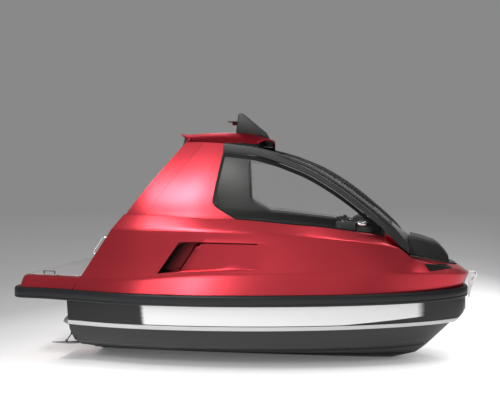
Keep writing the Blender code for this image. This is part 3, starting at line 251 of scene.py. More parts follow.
def ease(t):
    """Smooth step from 0 to 1."""
    t = min(max(t, 0.0), 1.0)
    return t * t * (3 - 2 * t)


def mix(a, b, t):
    return a + (b - a) * t


def spread(low, high, count):
    """count + 1 even places from low to high."""
    return [mix(low, high, i / count) for i in range(count + 1)]


def rail_edge(x):
    """Point and outward normal, in plan, of the rail's outer edge to port."""
    if x >= BEAM_X:
        reach = min((x - BEAM_X) / (HALF_LENGTH - BEAM_X), 1.0)
        sine = reach**0.8
        cosine = math.sqrt(max(1 - sine * sine, 0.0))
        run = (HALF_LENGTH - BEAM_X) * 1.25 * sine**0.25 * cosine
        fall = HALF_BEAM * sine
        normal = Vector((fall, run)) if run + fall > 1e-6 else Vector((0.0, 1.0))
        return Vector((x, HALF_BEAM * cosine)), normal.normalized()
    side_end = STERN_RADIUS - HALF_LENGTH
    v = min(max((TUCK_START - x) / (TUCK_START - side_end), 0.0), 1.0)
    lean = SIDE_TUCK * 6 * v * (1 - v) / (TUCK_START - side_end)
    return Vector((x, HALF_BEAM - SIDE_TUCK * ease(v))), Vector((-lean, 1.0)).normalized()


def inside_rail(x, inward, z):
    """Point at a distance inward from the rail's outer edge, to port."""
    point, normal = rail_edge(x)
    point = point - normal * inward
    return Vector((point.x, point.y, z))


def inboard(x, inward, z):
    """Point of the body at a distance in from the rail, straight across aft of the widest place."""
    if x >= BEAM_X:
        return inside_rail(x, inward, z)
    edge, _ = rail_edge(x)
    return Vector((x, edge.y - inward, z))


def stern_plan(inward, steps=20):
    """Points of the rail's plan from the side's end round the corner, to port."""
    centre = Vector((STERN_RADIUS - HALF_LENGTH, STERN_HALF))
    turns = [math.pi / 2 * i / steps for i in range(steps + 1)]
    return [centre + Vector((-math.sin(a), math.cos(a))) * (STERN_RADIUS - inward) for a in turns]


def bow_stations(count):
    reach = HALF_LENGTH - BEAM_X
    return [BEAM_X + reach * math.sin(math.pi / 2 * i / count) ** 1.25 for i in range(count + 1)]


AFT_XS = (
    spread(BODY_AFT_X, -1.5, 20) + [-1.44, -1.40] + spread(-1.383, -1.248, 27) + spread(-1.23, -1.13, 5)
    + [-1.12, -1.10, -1.08, -1.06, -1.05] + spread(-1.0, -0.75, 5)
)


def body_stations():
    return AFT_XS + bow_stations(bpy.context.scene.jet_boat_trim.stations)


def mirrored(points):
    return [Vector((p.x, -p.y, p.z)) for p in points]


def both_sides(rows):
    """Rows from the stern forward to port, made a run from starboard round the bow to port."""
    return [mirrored(row) for row in rows] + list(reversed(rows[:-1]))


def lean_of(station):
    """How far a body section leans forward for each metre of height."""
    return SLANT * (1 - ease((station + 0.6) / 2.1))


def lean_x(station, z):
    return station + lean_of(station) * max(z - SLANT_Z, 0.0)


def lean_point(station, heights, insets, more=0.0):
    """Where a body section crosses one of the body's long lines."""
    x = station
    for _ in range(8):
        x = lean_x(station, smooth(heights, x))
    return inboard(x, smooth(insets, x) + more, smooth(heights, x))


BELT_LINE = [lean_point(x, BELT_Z, BELT_IN) for x in AFT_XS + bow_stations(64)]
BELT_Y_AT = [(p.x, p.y) for p in BELT_LINE]
BELT_Z_AT = [(p.x, p.z) for p in BELT_LINE]


def side_y(x, z):
    """Half-breadth of the upper side, from the belt line up to the roof."""
    low_y, low_z = straight(BELT_Y_AT, x), straight(BELT_Z_AT, x)
    rise = max((z - low_z) / (smooth(ARCH_Z, x) - low_z), 0.0)
    return mix(smooth(ARCH_Y, x), low_y, 1 - rise**1.25)


def stem_x(z):
    """Length of the stem's profile at height z."""
    rise = z - KEEL_Z
    turned_rise = FOREFOOT_RADIUS * (1 - math.cos(math.pi / 4))
    if rise <= turned_rise:
        return KEEL_END_X + math.sqrt(FOREFOOT_RADIUS**2 - (FOREFOOT_RADIUS - rise) ** 2)
    slope_x = KEEL_END_X + FOREFOOT_RADIUS * math.sin(math.pi / 4) + (rise - turned_rise)
    return min(slope_x + 0.02 * ease(rise / 0.7), STEM_X)


def chine_half(x, end_x):
    """Half-breadth of the chine at length x."""
    widest = -1.2
    if x < widest:
        return 1.53 - 0.184 * ((widest - x) / 1.6) ** 2
    u = min((x - widest) / (end_x - widest), 1.0)
    return 1.53 * (1 - u * u) ** (1 / 1.55)


def transom_x(z):
    return mix(-2.81, -2.857, min(max((z - CHINE_Z) / 0.42, 0.0), 1.0))


def topside_point(station, z, out=0.0):
    """Point on the hull's side between the chine and the rail, pushed outward by out."""
    u = (station - TRANSOM_X) / (HALF_LENGTH - TRANSOM_X)
    end_x = stem_x(CHINE_Z)
    x = mix(transom_x(CHINE_Z), end_x, u)
    low = Vector((x, chine_half(x, end_x), CHINE_Z))
    high = inside_rail(station, mix(RAIL_DEPTH, 0.05, u**4), RAIL_LOW)
    share = max((z - CHINE_Z) / (RAIL_LOW - CHINE_Z), 0.0) ** mix(1.0, 0.55, u**3)
    point = low.lerp(high, share)
    point.x += u**6 * (min(stem_x(z), high.x) - point.x)
    _, normal = rail_edge(station)
    return Vector((point.x + normal.x * out, point.y + normal.y * out, z))


def softened(points, corners, steps=4):
    """The points with each corner in corners, index to radius, drawn as a small curve."""
    drawn = []
    for i, p in enumerate(points):
        radius = corners.get(i)
        if not radius:
            drawn.append(p)
            continue
        before, after = points[i - 1] - p, points[i + 1] - p
        start = p + before.normalized() * min(radius, before.length * 0.45)
        end = p + after.normalized() * min(radius, after.length * 0.45)
        for t in spread(0.0, 1.0, steps):
            drawn.append(start * (1 - t) ** 2 + p * (2 * t * (1 - t)) + end * t * t)
    return drawn


def roof_z(x, y, lower=0.0, half=0.74):
    rim = smooth(ROOF_RIM, x)
    crown = smooth(ROOF_CROWN, x) - lower
    return rim + (crown - rim) * (1 - min(abs(y) / half, 1.0) ** 3.2)


def roof_shift(x, share):
    """How far a point of the roof's section runs forward of its station."""
    forward = 0.10 * ease((x + 0.2) / 0.48) * (1 - share * share)
    return forward + 0.02 * ease((-0.8 - x) / 0.33) * share * share


RIM_LINE = [(x + roof_shift(x, 1), smooth(ROOF_RIM, x + roof_shift(x, 1))) for x in ROOF_XS]


def arch_frame(x):
    """Centre of the roof arch at length x, its in-plane normal and its slope."""
    step = 0.01
    rise = (smooth(ARCH_Z, x + step) - smooth(ARCH_Z, x - step)) / (2 * step)
    return Vector((x, smooth(ARCH_Y, x), smooth(ARCH_Z, x))), Vector((-rise, 0.0, 1.0)).normalized(), rise


def tail_edge(z):
    """Aft edge of the tail panel, a little steeper than the body's own slant."""
    return BODY_AFT_X + SLANT * (z - SLANT_Z) + 0.03 * (3.2 - z)


def seam_x(z):
    return -1.437 + 0.648 * (z - 1.999)


def window_edge(z):
    """Front edge of the quarter panel: upright, with a slanted corner at the belt."""
    if z < WINDOW_CORNER_Z[1]:
        rise = (z - WINDOW_CORNER_Z[0]) / (WINDOW_CORNER_Z[1] - WINDOW_CORNER_Z[0])
        return mix(0.08, -0.34, min(max(rise, 0.0), 1.0))
    return mix(-0.34, -0.262, (z - WINDOW_CORNER_Z[1]) / 1.05)


def panel_ends(station):
    """Length and height of the knee and of the shoulder on a body section."""
    low_x = high_x = station
    low_z = high_z = 0.0
    for _ in range(8):
        low_z = smooth(KNEE_Z, low_x)
        low_x = lean_x(station, low_z)
        high_z = smooth(SHOULDER_Z, high_x)
        high_x = lean_x(station, high_z)
    return low_x, low_z, high_x, high_z


def panel_point(station, ends, share, more=0.0):
    """Point on the side between knee and shoulder, at a share of the way up."""
    low_x, low_z, high_x, high_z = ends
    z = mix(low_z, high_z, share)
    inward = mix(smooth(KNEE_IN, low_x), smooth(SHOULDER_IN, high_x), share) + more
    return inboard(lean_x(station, z), inward, z)


# Finishes

def paint_values():
    return bpy.context.scene.jet_boat_paint


def add_node(tree, kind, inputs=(), **settings):
    """A shader node with its settings; inputs are values or other nodes' outputs."""
    node = tree.nodes.new("ShaderNode" + kind)
    for label, value in settings.items():
        setattr(node, label, value)
    for label, value in dict(inputs).items():
        if isinstance(value, bpy.types.NodeSocket):
            tree.links.new(value, node.inputs[label])
        else:
            node.inputs[label].default_value = value
    return node


def calculated(tree, operation, *values):
    """Output of a math node on values or other nodes' outputs."""
    return add_node(tree, "Math", enumerate(values), operation=operation).outputs[0]


def own_place(tree):
    """Place of the shaded point in the object's own axes."""
    return add_node(tree, "TexCoord").outputs["Object"]


def axes_of(tree, place):
    return add_node(tree, "SeparateXYZ", {"Vector": place}).outputs


def mapped(tree, value, low, high):
    """Share of the way that value is from low to high, kept within 0 and 1."""
    return add_node(tree, "MapRange", {"Value": value, "From Min": low, "From Max": high}).outputs["Result"]


def ramp(tree, factor, stops):
    """Colour at factor of a ramp through (position, colour) stops."""
    node = add_node(tree, "ValToRGB", {"Fac": factor})
    elements = node.color_ramp.elements
    while len(elements) < len(stops):
        elements.new(0.5)
    for element, (position, colour) in zip(elements, stops):
        element.position = position
        element.color = (*colour, 1.0)
    return node.outputs["Color"]


def grey(value):
    return (value, value, value)


def node_group(name, inputs, outputs):
    """An empty shader group with float, colour or vector sockets."""
    group = bpy.data.node_groups.new(name, "ShaderNodeTree")
    kinds = {"value": "NodeSocketFloat", "colour": "NodeSocketColor", "vector": "NodeSocketVector"}
    for label, kind, default in inputs:
        socket = group.interface.new_socket(name=label, in_out="INPUT", socket_type=kinds[kind])
        socket.default_value = default
    for label, kind in outputs:
        group.interface.new_socket(name=label, in_out="OUTPUT", socket_type=kinds[kind])
    return group, group.nodes.new("NodeGroupInput").outputs, group.nodes.new("NodeGroupOutput").inputs


def weathering_group():
    """Faint cloudiness and fine grain: puts out a colour, a roughness and a normal."""
    group, given, out = node_group(
        "boat_surface",
        [("Colour", "colour", (0.5, 0.5, 0.5, 1.0)), ("Roughness", "value", 0.4), ("Cloud", "value", 0.06),
         ("Grain size", "value", 400.0), ("Grain depth", "value", 0.02)],
        [("Colour", "colour"), ("Roughness", "value"), ("Normal", "vector")],
    )
    place = own_place(group)
    cloud = add_node(group, "TexNoise", {"Vector": place, "Scale": 1.7, "Detail": 4.0}).outputs["Fac"]
    amount = calculated(group, "MULTIPLY", calculated(group, "SUBTRACT", cloud, 0.5), given["Cloud"])
    value = calculated(group, "ADD", amount, 1.0)
    tint = add_node(group, "HueSaturation", {"Color": given["Colour"], "Value": value})
    grain = add_node(group, "TexNoise", {"Vector": place, "Scale": given["Grain size"], "Detail": 2.0})
    bump = add_node(group, "Bump", {
        "Distance": 0.001, "Strength": given["Grain depth"], "Height": grain.outputs["Fac"],
    })
    group.links.new(tint.outputs["Color"], out["Colour"])
    group.links.new(calculated(group, "ADD", given["Roughness"], amount), out["Roughness"])
    group.links.new(bump.outputs["Normal"], out["Normal"])
    return group


def seam_group():
    """Parallel seams across an axis: puts out a mask that is 1 in a seam and 0 on a plank."""
    group, given, out = node_group(
        "plank_seams",
        [("Across", "value", 0.0), ("Pitch", "value", 0.085), ("Width", "value", 0.08)],
        [("Seam", "value")],
    )
    saw = calculated(group, "FRACT", calculated(group, "DIVIDE", given["Across"], given["Pitch"]))
    group.links.new(calculated(group, "LESS_THAN", saw, given["Width"]), out["Seam"])
    return group


def group_of(name, maker):
    return bpy.data.node_groups.get(name) or maker()


def once(name):
    """Makes a material the first time that it is asked for, and then hands out the same one."""
    def keeper(maker):
        @functools.wraps(maker)
        def found():
            return bpy.data.materials.get(name) or maker(name)
        return found
    return keeper


def plain_material(name, values):
    material = bpy.data.materials.new(name)
    material.use_nodes = True
    for label, value in values.items():
        material.node_tree.nodes["Principled BSDF"].inputs[label].default_value = value
    return material


def to_shader(material, label, output):
    """Feeds one input of the material's own shader."""
    tree = material.node_tree
    tree.links.new(output, tree.nodes["Principled BSDF"].inputs[label])


def finish(name, colour, roughness, metallic=0.0, coat=0.0, coat_roughness=0.05, cloud=0.06, grain=400.0,
           depth=0.02, specular=0.5):
    """A painted, moulded or metal finish with a clouded colour and fine grain."""
    material = bpy.data.materials.get(name)
    if material:
        return material
    material = plain_material(name, {
        "Metallic": metallic, "Coat Weight": coat, "Coat Roughness": coat_roughness,
        "Specular IOR Level": specular,
    })
    surface = add_node(material.node_tree, "Group", {
        "Colour": (*colour, 1.0), "Roughness": roughness, "Cloud": cloud, "Grain size": grain,
        "Grain depth": depth,
    }, node_tree=group_of("boat_surface", weathering_group), name="surface")
    to_shader(material, "Base Color", surface.outputs["Colour"])
    to_shader(material, "Roughness", surface.outputs["Roughness"])
    to_shader(material, "Normal", surface.outputs["Normal"])
    return material


def surface_of(material):
    """The group that makes the finish's colour, roughness and normal."""
    return material.node_tree.nodes["surface"]


def overlaid(material, mask, colour):
    """Lays a colour over the finish's own where the mask is 1."""
    blend = add_node(material.node_tree, "Mix", {
        "Factor": mask, "A": surface_of(material).outputs["Colour"], "B": (*colour, 1.0),
    }, data_type="RGBA")
    to_shader(material, "Base Color", blend.outputs["Result"])


def seams_across(tree, axis, pitch, width):
    """Mask of parallel seams across one of the object's axes."""
    return add_node(tree, "Group", {
        "Across": axes_of(tree, own_place(tree))[axis], "Pitch": pitch, "Width": width,
    }, node_tree=group_of("plank_seams", seam_group)).outputs["Seam"]


def red_finish(name):
    return finish(name, paint_values().red, 0.31, 0.88, 0.20, 0.33, 0.05, 1400.0, 0.10, 0.2)


def red_paint():
    return red_finish("red_metallic")


def dulled_red(name, share, roughness, metallic):
    """A red darkened as painted shade, with no lacquer."""
    red = [c * share for c in paint_values().red]
    return finish(name, red, roughness, metallic, 0.0, 0.3, 0.05, 1400.0, 0.10, 0.1)


@once("recess_red")
def intake_shaded_red(name):
    """The red of the intake's bed, darkened to black towards its aft throat as painted shade."""
    material = red_finish(name)
    tree = material.node_tree
    axes = axes_of(tree, own_place(tree))
    slanted = calculated(tree, "MULTIPLY_ADD", axes["Z"], -SLANT, axes["X"])
    reach = mapped(tree, slanted, -1.40 - SLANT * SLANT_Z, -0.90 - SLANT * SLANT_Z)
    # Painted shade: the red darkens to near black towards the deep aft end of the intake.
    stops = [(0.0, 0.01), (0.09, 0.01), (0.22, 0.14), (0.56, 0.34), (0.68, 0.62), (0.98, 1.0)]
    stops = [(place, [c * share for c in paint_values().red]) for place, share in stops]
    tree.links.new(ramp(tree, reach, stops), surface_of(material).inputs["Colour"])
    return material


@once("roof_red")
def roof_red(name):
    """The roof's red, darkened as painted shade for the dark that the roof's top reflects, which stays red at
    a glancing view.
    """
    material = dulled_red(name, 0.48, 0.36, 1.0)
    shader = material.node_tree.nodes["Principled BSDF"]
    shader.inputs["Specular Tint"].default_value = (0.88, 0.46, 0.49, 1.0)
    return material


def recess_shade():
    return dulled_red("recess_shade", 0.16, 0.55, 0.5)


@once("hood_ribs")
def hood_finish(name):
    """Satin black with fine level ribs."""
    material = finish(name, paint_values().gloss, 0.50, 0.0, 0.0, 0.3, 0.08, 700.0, 0.05, 0.35)
    overlaid(material, seams_across(material.node_tree, "Z", 0.032, 0.35), (0.012, 0.012, 0.012))
    return material


def lining():
    return finish("cabin_lining", (0.055, 0.055, 0.054), 0.50, grain=260.0, depth=0.25, specular=0.3)


def satin_black():
    return finish("arch_satin", paint_values().gloss, 0.46, 0.0, 0.0, 0.3, 0.08, 700.0, 0.05)


def gloss_black():
    return finish("gloss_black", (0.006, 0.006, 0.007), 0.12, 0.0, 0.5, 0.04, 0.02, 900.0, 0.0)


def pod_finish():
    return finish("pod_gloss", (0.030, 0.030, 0.031), 0.16, 0.0, 0.5, 0.06, 0.06, 700.0, 0.02)


def glass_border():
    return finish("glass_border", (0.004, 0.004, 0.004), 0.45, 0.0, 0.0, 0.3, 0.02, 900.0, 0.0, 0.15)


def bottom_paint():
    return finish("bottom_satin", paint_values().bottom, 0.42, 0.0, 0.0, 0.3, 0.12, 500.0, 0.08, 0.35)


def rail_rubber():
    return finish("rail_rubber", paint_values().rubber, 0.45, 0.0, 0.0, 0.3, 0.08, 900.0, 0.15, 0.3)


def polished():
    return finish("polished_steel", (0.80, 0.80, 0.81), 0.26, 1.0, cloud=0.08, grain=900.0, depth=0.02)


def anchor_alloy():
    return finish("anchor_alloy", (0.82, 0.82, 0.83), 0.40, 0.25, cloud=0.15, grain=300.0, depth=0.2)


def dark_steel():
    return finish("dark_steel", (0.05, 0.05, 0.052), 0.38, 0.8, cloud=0.10, grain=500.0, depth=0.05)


def cast_alloy():
    return finish("cast_alloy", (0.30, 0.30, 0.31), 0.42, 1.0, cloud=0.12, grain=350.0, depth=0.25)


def lamp_lens():
    return finish("lamp_lens", (0.30, 0.30, 0.30), 0.15, coat=0.3, cloud=0.04)


@once("seat_leather")
def leather(name):
    """Leather with fine cells in its grain."""
    material = finish(name, paint_values().leather, 0.48, 0.0, 0.08, 0.35, 0.14, 180.0, 0.0)
    tree = material.node_tree
    where = {"Vector": own_place(tree), "Scale": 230.0}
    cells = add_node(tree, "TexVoronoi", where, feature="DISTANCE_TO_EDGE").outputs["Distance"]
    bump = add_node(tree, "Bump", {"Strength": 0.35, "Distance": 0.0015, "Height": cells})
    to_shader(material, "Normal", bump.outputs["Normal"])
    return material


@once("clear_glass")
def clear_glass(name):
    """Nearly clear glass of the side windows and the door."""
    return plain_material(name, {
        "Base Color": (0.95, 0.955, 0.95, 1.0), "Roughness": 0.02, "Transmission Weight": 1.0, "IOR": 1.08,
        "Alpha": 0.28,
    })


@once("screen_film")
def screen_film(name):
    """Dark tint of the windscreen, which stays clean at a glancing view."""
    material = finish(name, (0.03, 0.03, 0.03), 0.10, cloud=0.02, grain=900.0, depth=0.0, specular=0.4)
    material.node_tree.nodes["Principled BSDF"].inputs["Alpha"].default_value = 0.30
    return material


@once("planking")
def planking(name):
    """Grey planks with dark seams that run fore and aft."""
    material = finish(name, paint_values().deck, 0.62, cloud=0.25, grain=120.0, depth=0.3)
    tree = material.node_tree
    seams = seams_across(tree, "Y", bpy.context.scene.jet_boat_trim.plank, 0.09)
    overlaid(material, seams, (0.05, 0.012, 0.014))
    bump = add_node(tree, "Bump", {
        "Strength": 0.6, "Distance": 0.003, "Height": seams,
        "Normal": surface_of(material).outputs["Normal"],
    }, invert=True)
    to_shader(material, "Normal", bump.outputs["Normal"])
    return material


@once("topside_band")
def band_with_painted_reflection(name):
    """Dark band whose long middle carries a painted reflection of a bright softbox, with a ragged start and
    end.
    """
    material = finish(name, (0.011, 0.011, 0.012), 0.32, 0.0, 0.05, 0.2, 0.05, 600.0, 0.02, 0.25)
    tree = material.node_tree
    place = own_place(tree)
    axes = axes_of(tree, place)
    stretch = add_node(tree, "Mapping", {"Vector": place, "Scale": (2.0, 2.0, 60.0)})
    ragged = add_node(tree, "TexNoise", {"Vector": stretch.outputs["Vector"], "Scale": 1.5, "Detail": 3.0})
    wobble = calculated(tree, "MULTIPLY_ADD", ragged.outputs["Fac"], 0.06, -0.03)
    # Painted reflection: the middle is bright from aft of the cabin to near the bow, and only above a slanted
    # lower edge.
    aft, fore = -3.0, 4.0
    along = mapped(tree, calculated(tree, "ADD", axes["X"], wobble), aft, fore)
    stops = [(aft, 0.0), (-1.42, 0.0), (-1.36, 1.0), (3.02, 1.0), (3.14, 0.0), (fore, 0.0)]
    middle = ramp(tree, along, [((x - aft) / (fore - aft), grey(bright)) for x, bright in stops])
    rise = calculated(tree, "MULTIPLY_ADD", axes["X"], -0.069, axes["Z"])
    above = mapped(tree, rise, 0.0735, 0.0775)
    overlaid(material, calculated(tree, "MULTIPLY", middle, above), paint_values().band)
    return material


# Making pieces

def deselect():
    for obj in bpy.context.selected_objects:
        obj.select_set(False)


def choose(obj):
    """Makes obj the only selected and the active object."""
    deselect()
    obj.select_set(True)
    bpy.context.view_layer.objects.active = obj
    return obj


def smooth_shaded(obj, degrees=32):
    choose(obj)
    bpy.ops.object.shade_smooth_by_angle(angle=math.radians(degrees))
    return obj


def carried(obj, body="boat", nodes=()):
    """Sets what the piece rides on and the solids that it stands for."""
    if nodes:
        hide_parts(*nodes)
    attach(obj, body)
    return obj


def skin(name, rows, finishes, pick=None, wrap=False, tip=True, angle=32):
    """Closed skin through rows of points; pick gives a face's finish from its row and place in the row."""
    bm = bmesh.new()
    rings = [[bm.verts.new(p) for p in row] for row in rows]
    count = len(rows[0])
    following = rings[1:] + (rings[:1] if wrap else [])
    for r, (a, b) in enumerate(zip(rings, following)):
        for i in range(count):
            j = (i + 1) % count
            face = bm.faces.new((a[i], a[j], b[j], b[i]))
            face.material_index = pick(r, i) if pick else 0
    ends = [] if wrap else [(0, rings[0])] + ([(len(rings) - 1, rings[-1])] if tip else [])
    for r, ring in ends:
        for i in range(count // 2 - 1):
            face = bm.faces.new((ring[i], ring[i + 1], ring[count - 2 - i], ring[count - 1 - i]))
            face.material_index = pick(r, -1) if pick else 0
    bmesh.ops.remove_doubles(bm, verts=bm.verts, dist=1e-5)
    bmesh.ops.recalc_face_normals(bm, faces=bm.faces)
    mesh = bpy.data.meshes.new(name)
    bm.to_mesh(mesh)
    bm.free()
    obj = bpy.data.objects.new(name, mesh)
    bpy.context.scene.collection.objects.link(obj)
    for material in finishes:
        mesh.materials.append(material)
    return smooth_shaded(obj, angle)


def settle(obj):
    """Moves the object's place into its mesh."""
    choose(obj)
    bpy.ops.object.transform_apply(location=True, rotation=True, scale=True)
    return obj


def apply_all(obj):
    choose(obj)
    for modifier in list(obj.modifiers):
        bpy.ops.object.modifier_apply(modifier=modifier.name)
    return obj


def bevelled(obj, width, segments=2, degrees=30):
    modifier = obj.modifiers.new("edges", "BEVEL")
    modifier.width = width
    modifier.segments = segments
    modifier.limit_method = "ANGLE"
    modifier.angle_limit = math.radians(degrees)
    modifier.harden_normals = False
    return apply_all(obj)


def block(name, low, high, material, bevel=0.004, segments=2):
    """A bevelled block between two corners."""
    deselect()
    bpy.ops.mesh.primitive_cube_add(size=1.0, location=(Vector(low) + Vector(high)) / 2)
    obj = bpy.context.object
    obj.name = obj.data.name = name
    obj.scale = Vector(high) - Vector(low)
    settle(obj)
    if bevel:
        bevelled(obj, bevel, segments)
    obj.data.materials.append(material)
    return smooth_shaded(obj)


def drum(name, start, end, radius, material, end_radius=None, sides=32, bevel=0.0):
    """A round bar or cone between two points."""
    start, end = Vector(start), Vector(end)
    along = end - start
    deselect()
    bpy.ops.mesh.primitive_cone_add(
        vertices=sides, radius1=radius, radius2=radius if end_radius is None else end_radius,
        depth=along.length,
        location=(start + end) / 2, rotation=along.to_track_quat("Z", "Y").to_euler(),
    )
    obj = bpy.context.object
    obj.name = obj.data.name = name
    settle(obj)
    if bevel:
        bevelled(obj, bevel, 2)
    obj.data.materials.append(material)
    return smooth_shaded(obj)


def pipe(name, points, radius, material, cyclic=False, straight_line=False, resolution=6):
    """A round bar bent along points, made a mesh."""
    curve = bpy.data.curves.new(name, "CURVE")
    curve.dimensions = "3D"
    curve.bevel_depth = radius
    curve.bevel_resolution = resolution
    curve.resolution_u = 6
    curve.use_fill_caps = True
    if straight_line:
        spline = curve.splines.new("POLY")
        spline.points.add(len(points) - 1)
        for point, place in zip(spline.points, points):
            point.co = (*place, 1.0)
    else:
        spline = curve.splines.new("BEZIER")
        spline.bezier_points.add(len(points) - 1)
        for point, place in zip(spline.bezier_points, points):
            point.co = place
            point.handle_left_type = point.handle_right_type = "AUTO"
    spline.use_cyclic_u = cyclic
    guide = bpy.data.objects.new(name + "_path", curve)
    bpy.context.scene.collection.objects.link(guide)
    choose(guide)
    bpy.ops.object.convert(target="MESH")
    obj = bpy.context.object
    obj.name = obj.data.name = name
    bm = bmesh.new()
    bm.from_mesh(obj.data)
    bmesh.ops.remove_doubles(bm, verts=bm.verts, dist=1e-5)
    bmesh.ops.recalc_face_normals(bm, faces=bm.faces)
    bm.to_mesh(obj.data)
    bm.free()
    obj.data.materials.append(material)
    return smooth_shaded(obj, 40)


def joined(name, pieces):
    """One object from several."""
    choose(pieces[0])
    for piece in pieces[1:]:
        piece.select_set(True)
    bpy.ops.object.join()
    obj = bpy.context.object
    obj.name = obj.data.name = name
    return obj


def refined(node, material, body, width=0.004, segments=2, degrees=30, name=None):
    """A solid's copy with its edges rounded, standing for the solid."""
    mesh = NODES[node].data.copy()
    name = name or node + "_finish"
    obj = bpy.data.objects.new(name, mesh)
    mesh.name = name
    bpy.context.scene.collection.objects.link(obj)
    mesh.materials.clear()
    mesh.materials.append(material)
    bm = bmesh.new()
    bm.from_mesh(mesh)
    bmesh.ops.remove_doubles(bm, verts=bm.verts, dist=2e-5)
    bmesh.ops.dissolve_limit(
        bm, angle_limit=math.radians(1.5), verts=bm.verts, edges=bm.edges, delimit={"NORMAL"},
    )
    for face in bm.faces:
        face.material_index = 0
    bm.to_mesh(mesh)
    bm.free()
    if width:
        bevelled(obj, width, segments, degrees)
    smooth_shaded(obj, 40)
    return carried(obj, body, [node])


def mirrored_copy(obj, name):
    """The piece's copy on the other side of the boat."""
    mesh = obj.data.copy()
    mesh.transform(Matrix.Diagonal((1, -1, 1, 1)))
    mesh.flip_normals()
    mesh.name = name
    other = bpy.data.objects.new(name, mesh)
    bpy.context.scene.collection.objects.link(other)
    return smooth_shaded(other, 35)


def carried_pair(port, node=None):
    """The port piece and its mirrored copy, each standing for its side's solid if node names one."""
    pair = port, mirrored_copy(port, port.name.removesuffix("port") + "stbd")
    for piece, label in zip(pair, ("port", "stbd")):
        carried(piece, "boat", [f"{node}_{label}"] if node else ())
    return pair


def ball(place, size, segments, rings, material):
    """A ball, or a squashed one, by its half sizes."""
    deselect()
    bpy.ops.mesh.primitive_uv_sphere_add(
        segments=segments, ring_count=rings, radius=1.0, location=place,
    )
    obj = bpy.context.object
    obj.scale = size
    settle(obj)
    obj.data.materials.append(material)
    return obj


class BoatOperator:
    """What the operators share: each one's build makes its pieces."""

    bl_options = {"REGISTER", "UNDO"}

    def execute(self, context):
        self.build(context)
        return {"FINISHED"}


class JETBOAT_OT_hull(BoatOperator, bpy.types.Operator):
    """Hull below the rail, with its strakes and the painted shadows under them, engine bay and water intake.
    """

    bl_idname = "jetboat.hull"
    bl_label = "Hull"

    def build(self, context):
        rows = []
        chine_end = stem_x(CHINE_Z)
        for station in [TRANSOM_X] + body_stations():
            u = (station - TRANSOM_X) / (HALF_LENGTH - TRANSOM_X)
            chine_x = mix(transom_x(CHINE_Z), chine_end, u)
            chine_y = chine_half(chine_x, chine_end)
            half = []
            for across, rise in BOTTOM:
                z = mix(KEEL_Z, CHINE_Z, rise)
                half.append(Vector((mix(transom_x(z), stem_x(z), u), chine_y * across, z)))
            half.append(Vector((chine_x, chine_y, CHINE_Z)))
            heights = (STRIPE_TOP_Z, BAND_LOW_Z, 0.25, TOPSIDE_KNOT_Z, 0.40, RAIL_LOW - 0.0015)
            half += [topside_point(station, z) for z in heights]
            inner = inside_rail(station, RAIL_DEPTH + SHARED, RAIL_LOW - 0.0005)
            half += [inner, Vector((inner.x, inner.y, HULL_TOP_Z))]
            half = softened(half, {1: 0.02, 8: 0.03, 10: 0.012}, 3)
            rows.append(mirrored(reversed(half)) + half)
        hull = skin("hull_skin", rows, [bottom_paint(), lining()], tip=False, angle=24)
        for name, low, high in (
            ("engine_bay", (-2.56, -0.56, -0.24), (-1.24, 0.56, 0.80)),
            ("intake_recess", (-2.10, -0.11, -0.80), (-1.50, 0.11, -0.50)),
        ):
            cutter = block(name, low, high, lining(), 0.0)
            modifier = hull.modifiers.new(name, "BOOLEAN")
            modifier.operation = "DIFFERENCE"
            modifier.object = cutter
            apply_all(hull)
            bpy.data.objects.remove(cutter, do_unlink=True)
        carried(smooth_shaded(hull, 24), "boat", ["hull"])
        for index, label in ((2, "low"), (6, "high")):
            self.strake(index, label)
        refined("intake_grille", cast_alloy(), "boat", 0.002)

    def strake(self, index, label):
        """Dark strips under one of the bottom's steps, painted as the shadow below each step, wider towards
        the bow.
        """
        rows = []
        chine_end = stem_x(CHINE_Z)
        low_step, high_step = BOTTOM[index], BOTTOM[index + 1]
        for u in spread(0.30, 0.985, 60):
            chine_x = mix(transom_x(CHINE_Z), chine_end, u)
            chine_y = chine_half(chine_x, chine_end)
            wide = mix(0.001, 0.011, ease((u - 0.3) / 0.6))
            row = []
            for (across, rise), out, lift in (
                (low_step, -0.004, -wide), (low_step, 0.004, -wide),
                (high_step, 0.006, 0.001), (high_step, -0.006, 0.001),
            ):
                z = mix(KEEL_Z, CHINE_Z, rise) + lift
                x = mix(transom_x(z), stem_x(z), u)
                row.append(Vector((x, max(chine_y * across + out, 0.002), z)))
            rows.append(row)
        carried_pair(skin(f"strake_{label}_port", rows, [rail_rubber()], angle=40))


class JETBOAT_OT_topsides(BoatOperator, bpy.types.Operator):
    """Band with a painted bright reflection along its middle, and pale spray rail along the topsides."""

    bl_idname = "jetboat.topsides"
    bl_label = "Topside band and stripe"

    def build(self, context):
        stations = [TRANSOM_X] + body_stations()

        def strip(name, heights, outs, start, material):
            rows = []
            for station in stations:
                outer = [topside_point(station, z, start + out) for z, out in zip(heights, outs)]
                inner = [topside_point(station, z, start) for z in reversed(heights)]
                rows.append(outer + inner)
            return skin(name, both_sides(rows), [material])

        stripe = finish("stripe_satin", paint_values().stripe, 0.34, 0.0, 0.2, 0.2)
        heights = (CHINE_Z + 0.003, CHINE_Z + 0.006, 0.152, STRIPE_TOP_Z - 0.004, STRIPE_TOP_Z - 0.001)
        piece = strip("spray_stripe", heights, (0.006, 0.014, 0.018, 0.014, 0.006), 0.001, stripe)
        carried(piece, "boat", ["spray_rail"])
        heights = (BAND_LOW_Z, BAND_LOW_Z + 0.003, 0.25, TOPSIDE_KNOT_Z, 0.42, RAIL_LOW - 0.007,
                   RAIL_LOW - 0.004)
        depths = (0.006, 0.011, 0.012, 0.012, 0.012, 0.011, 0.006)
        # The band's bright middle is a painted reflection, not a metal finish.
        piece = strip("band_painted_reflection_skin", heights, depths, 0.001, band_with_painted_reflection())
        carried(piece, "boat", ["topside_band"])


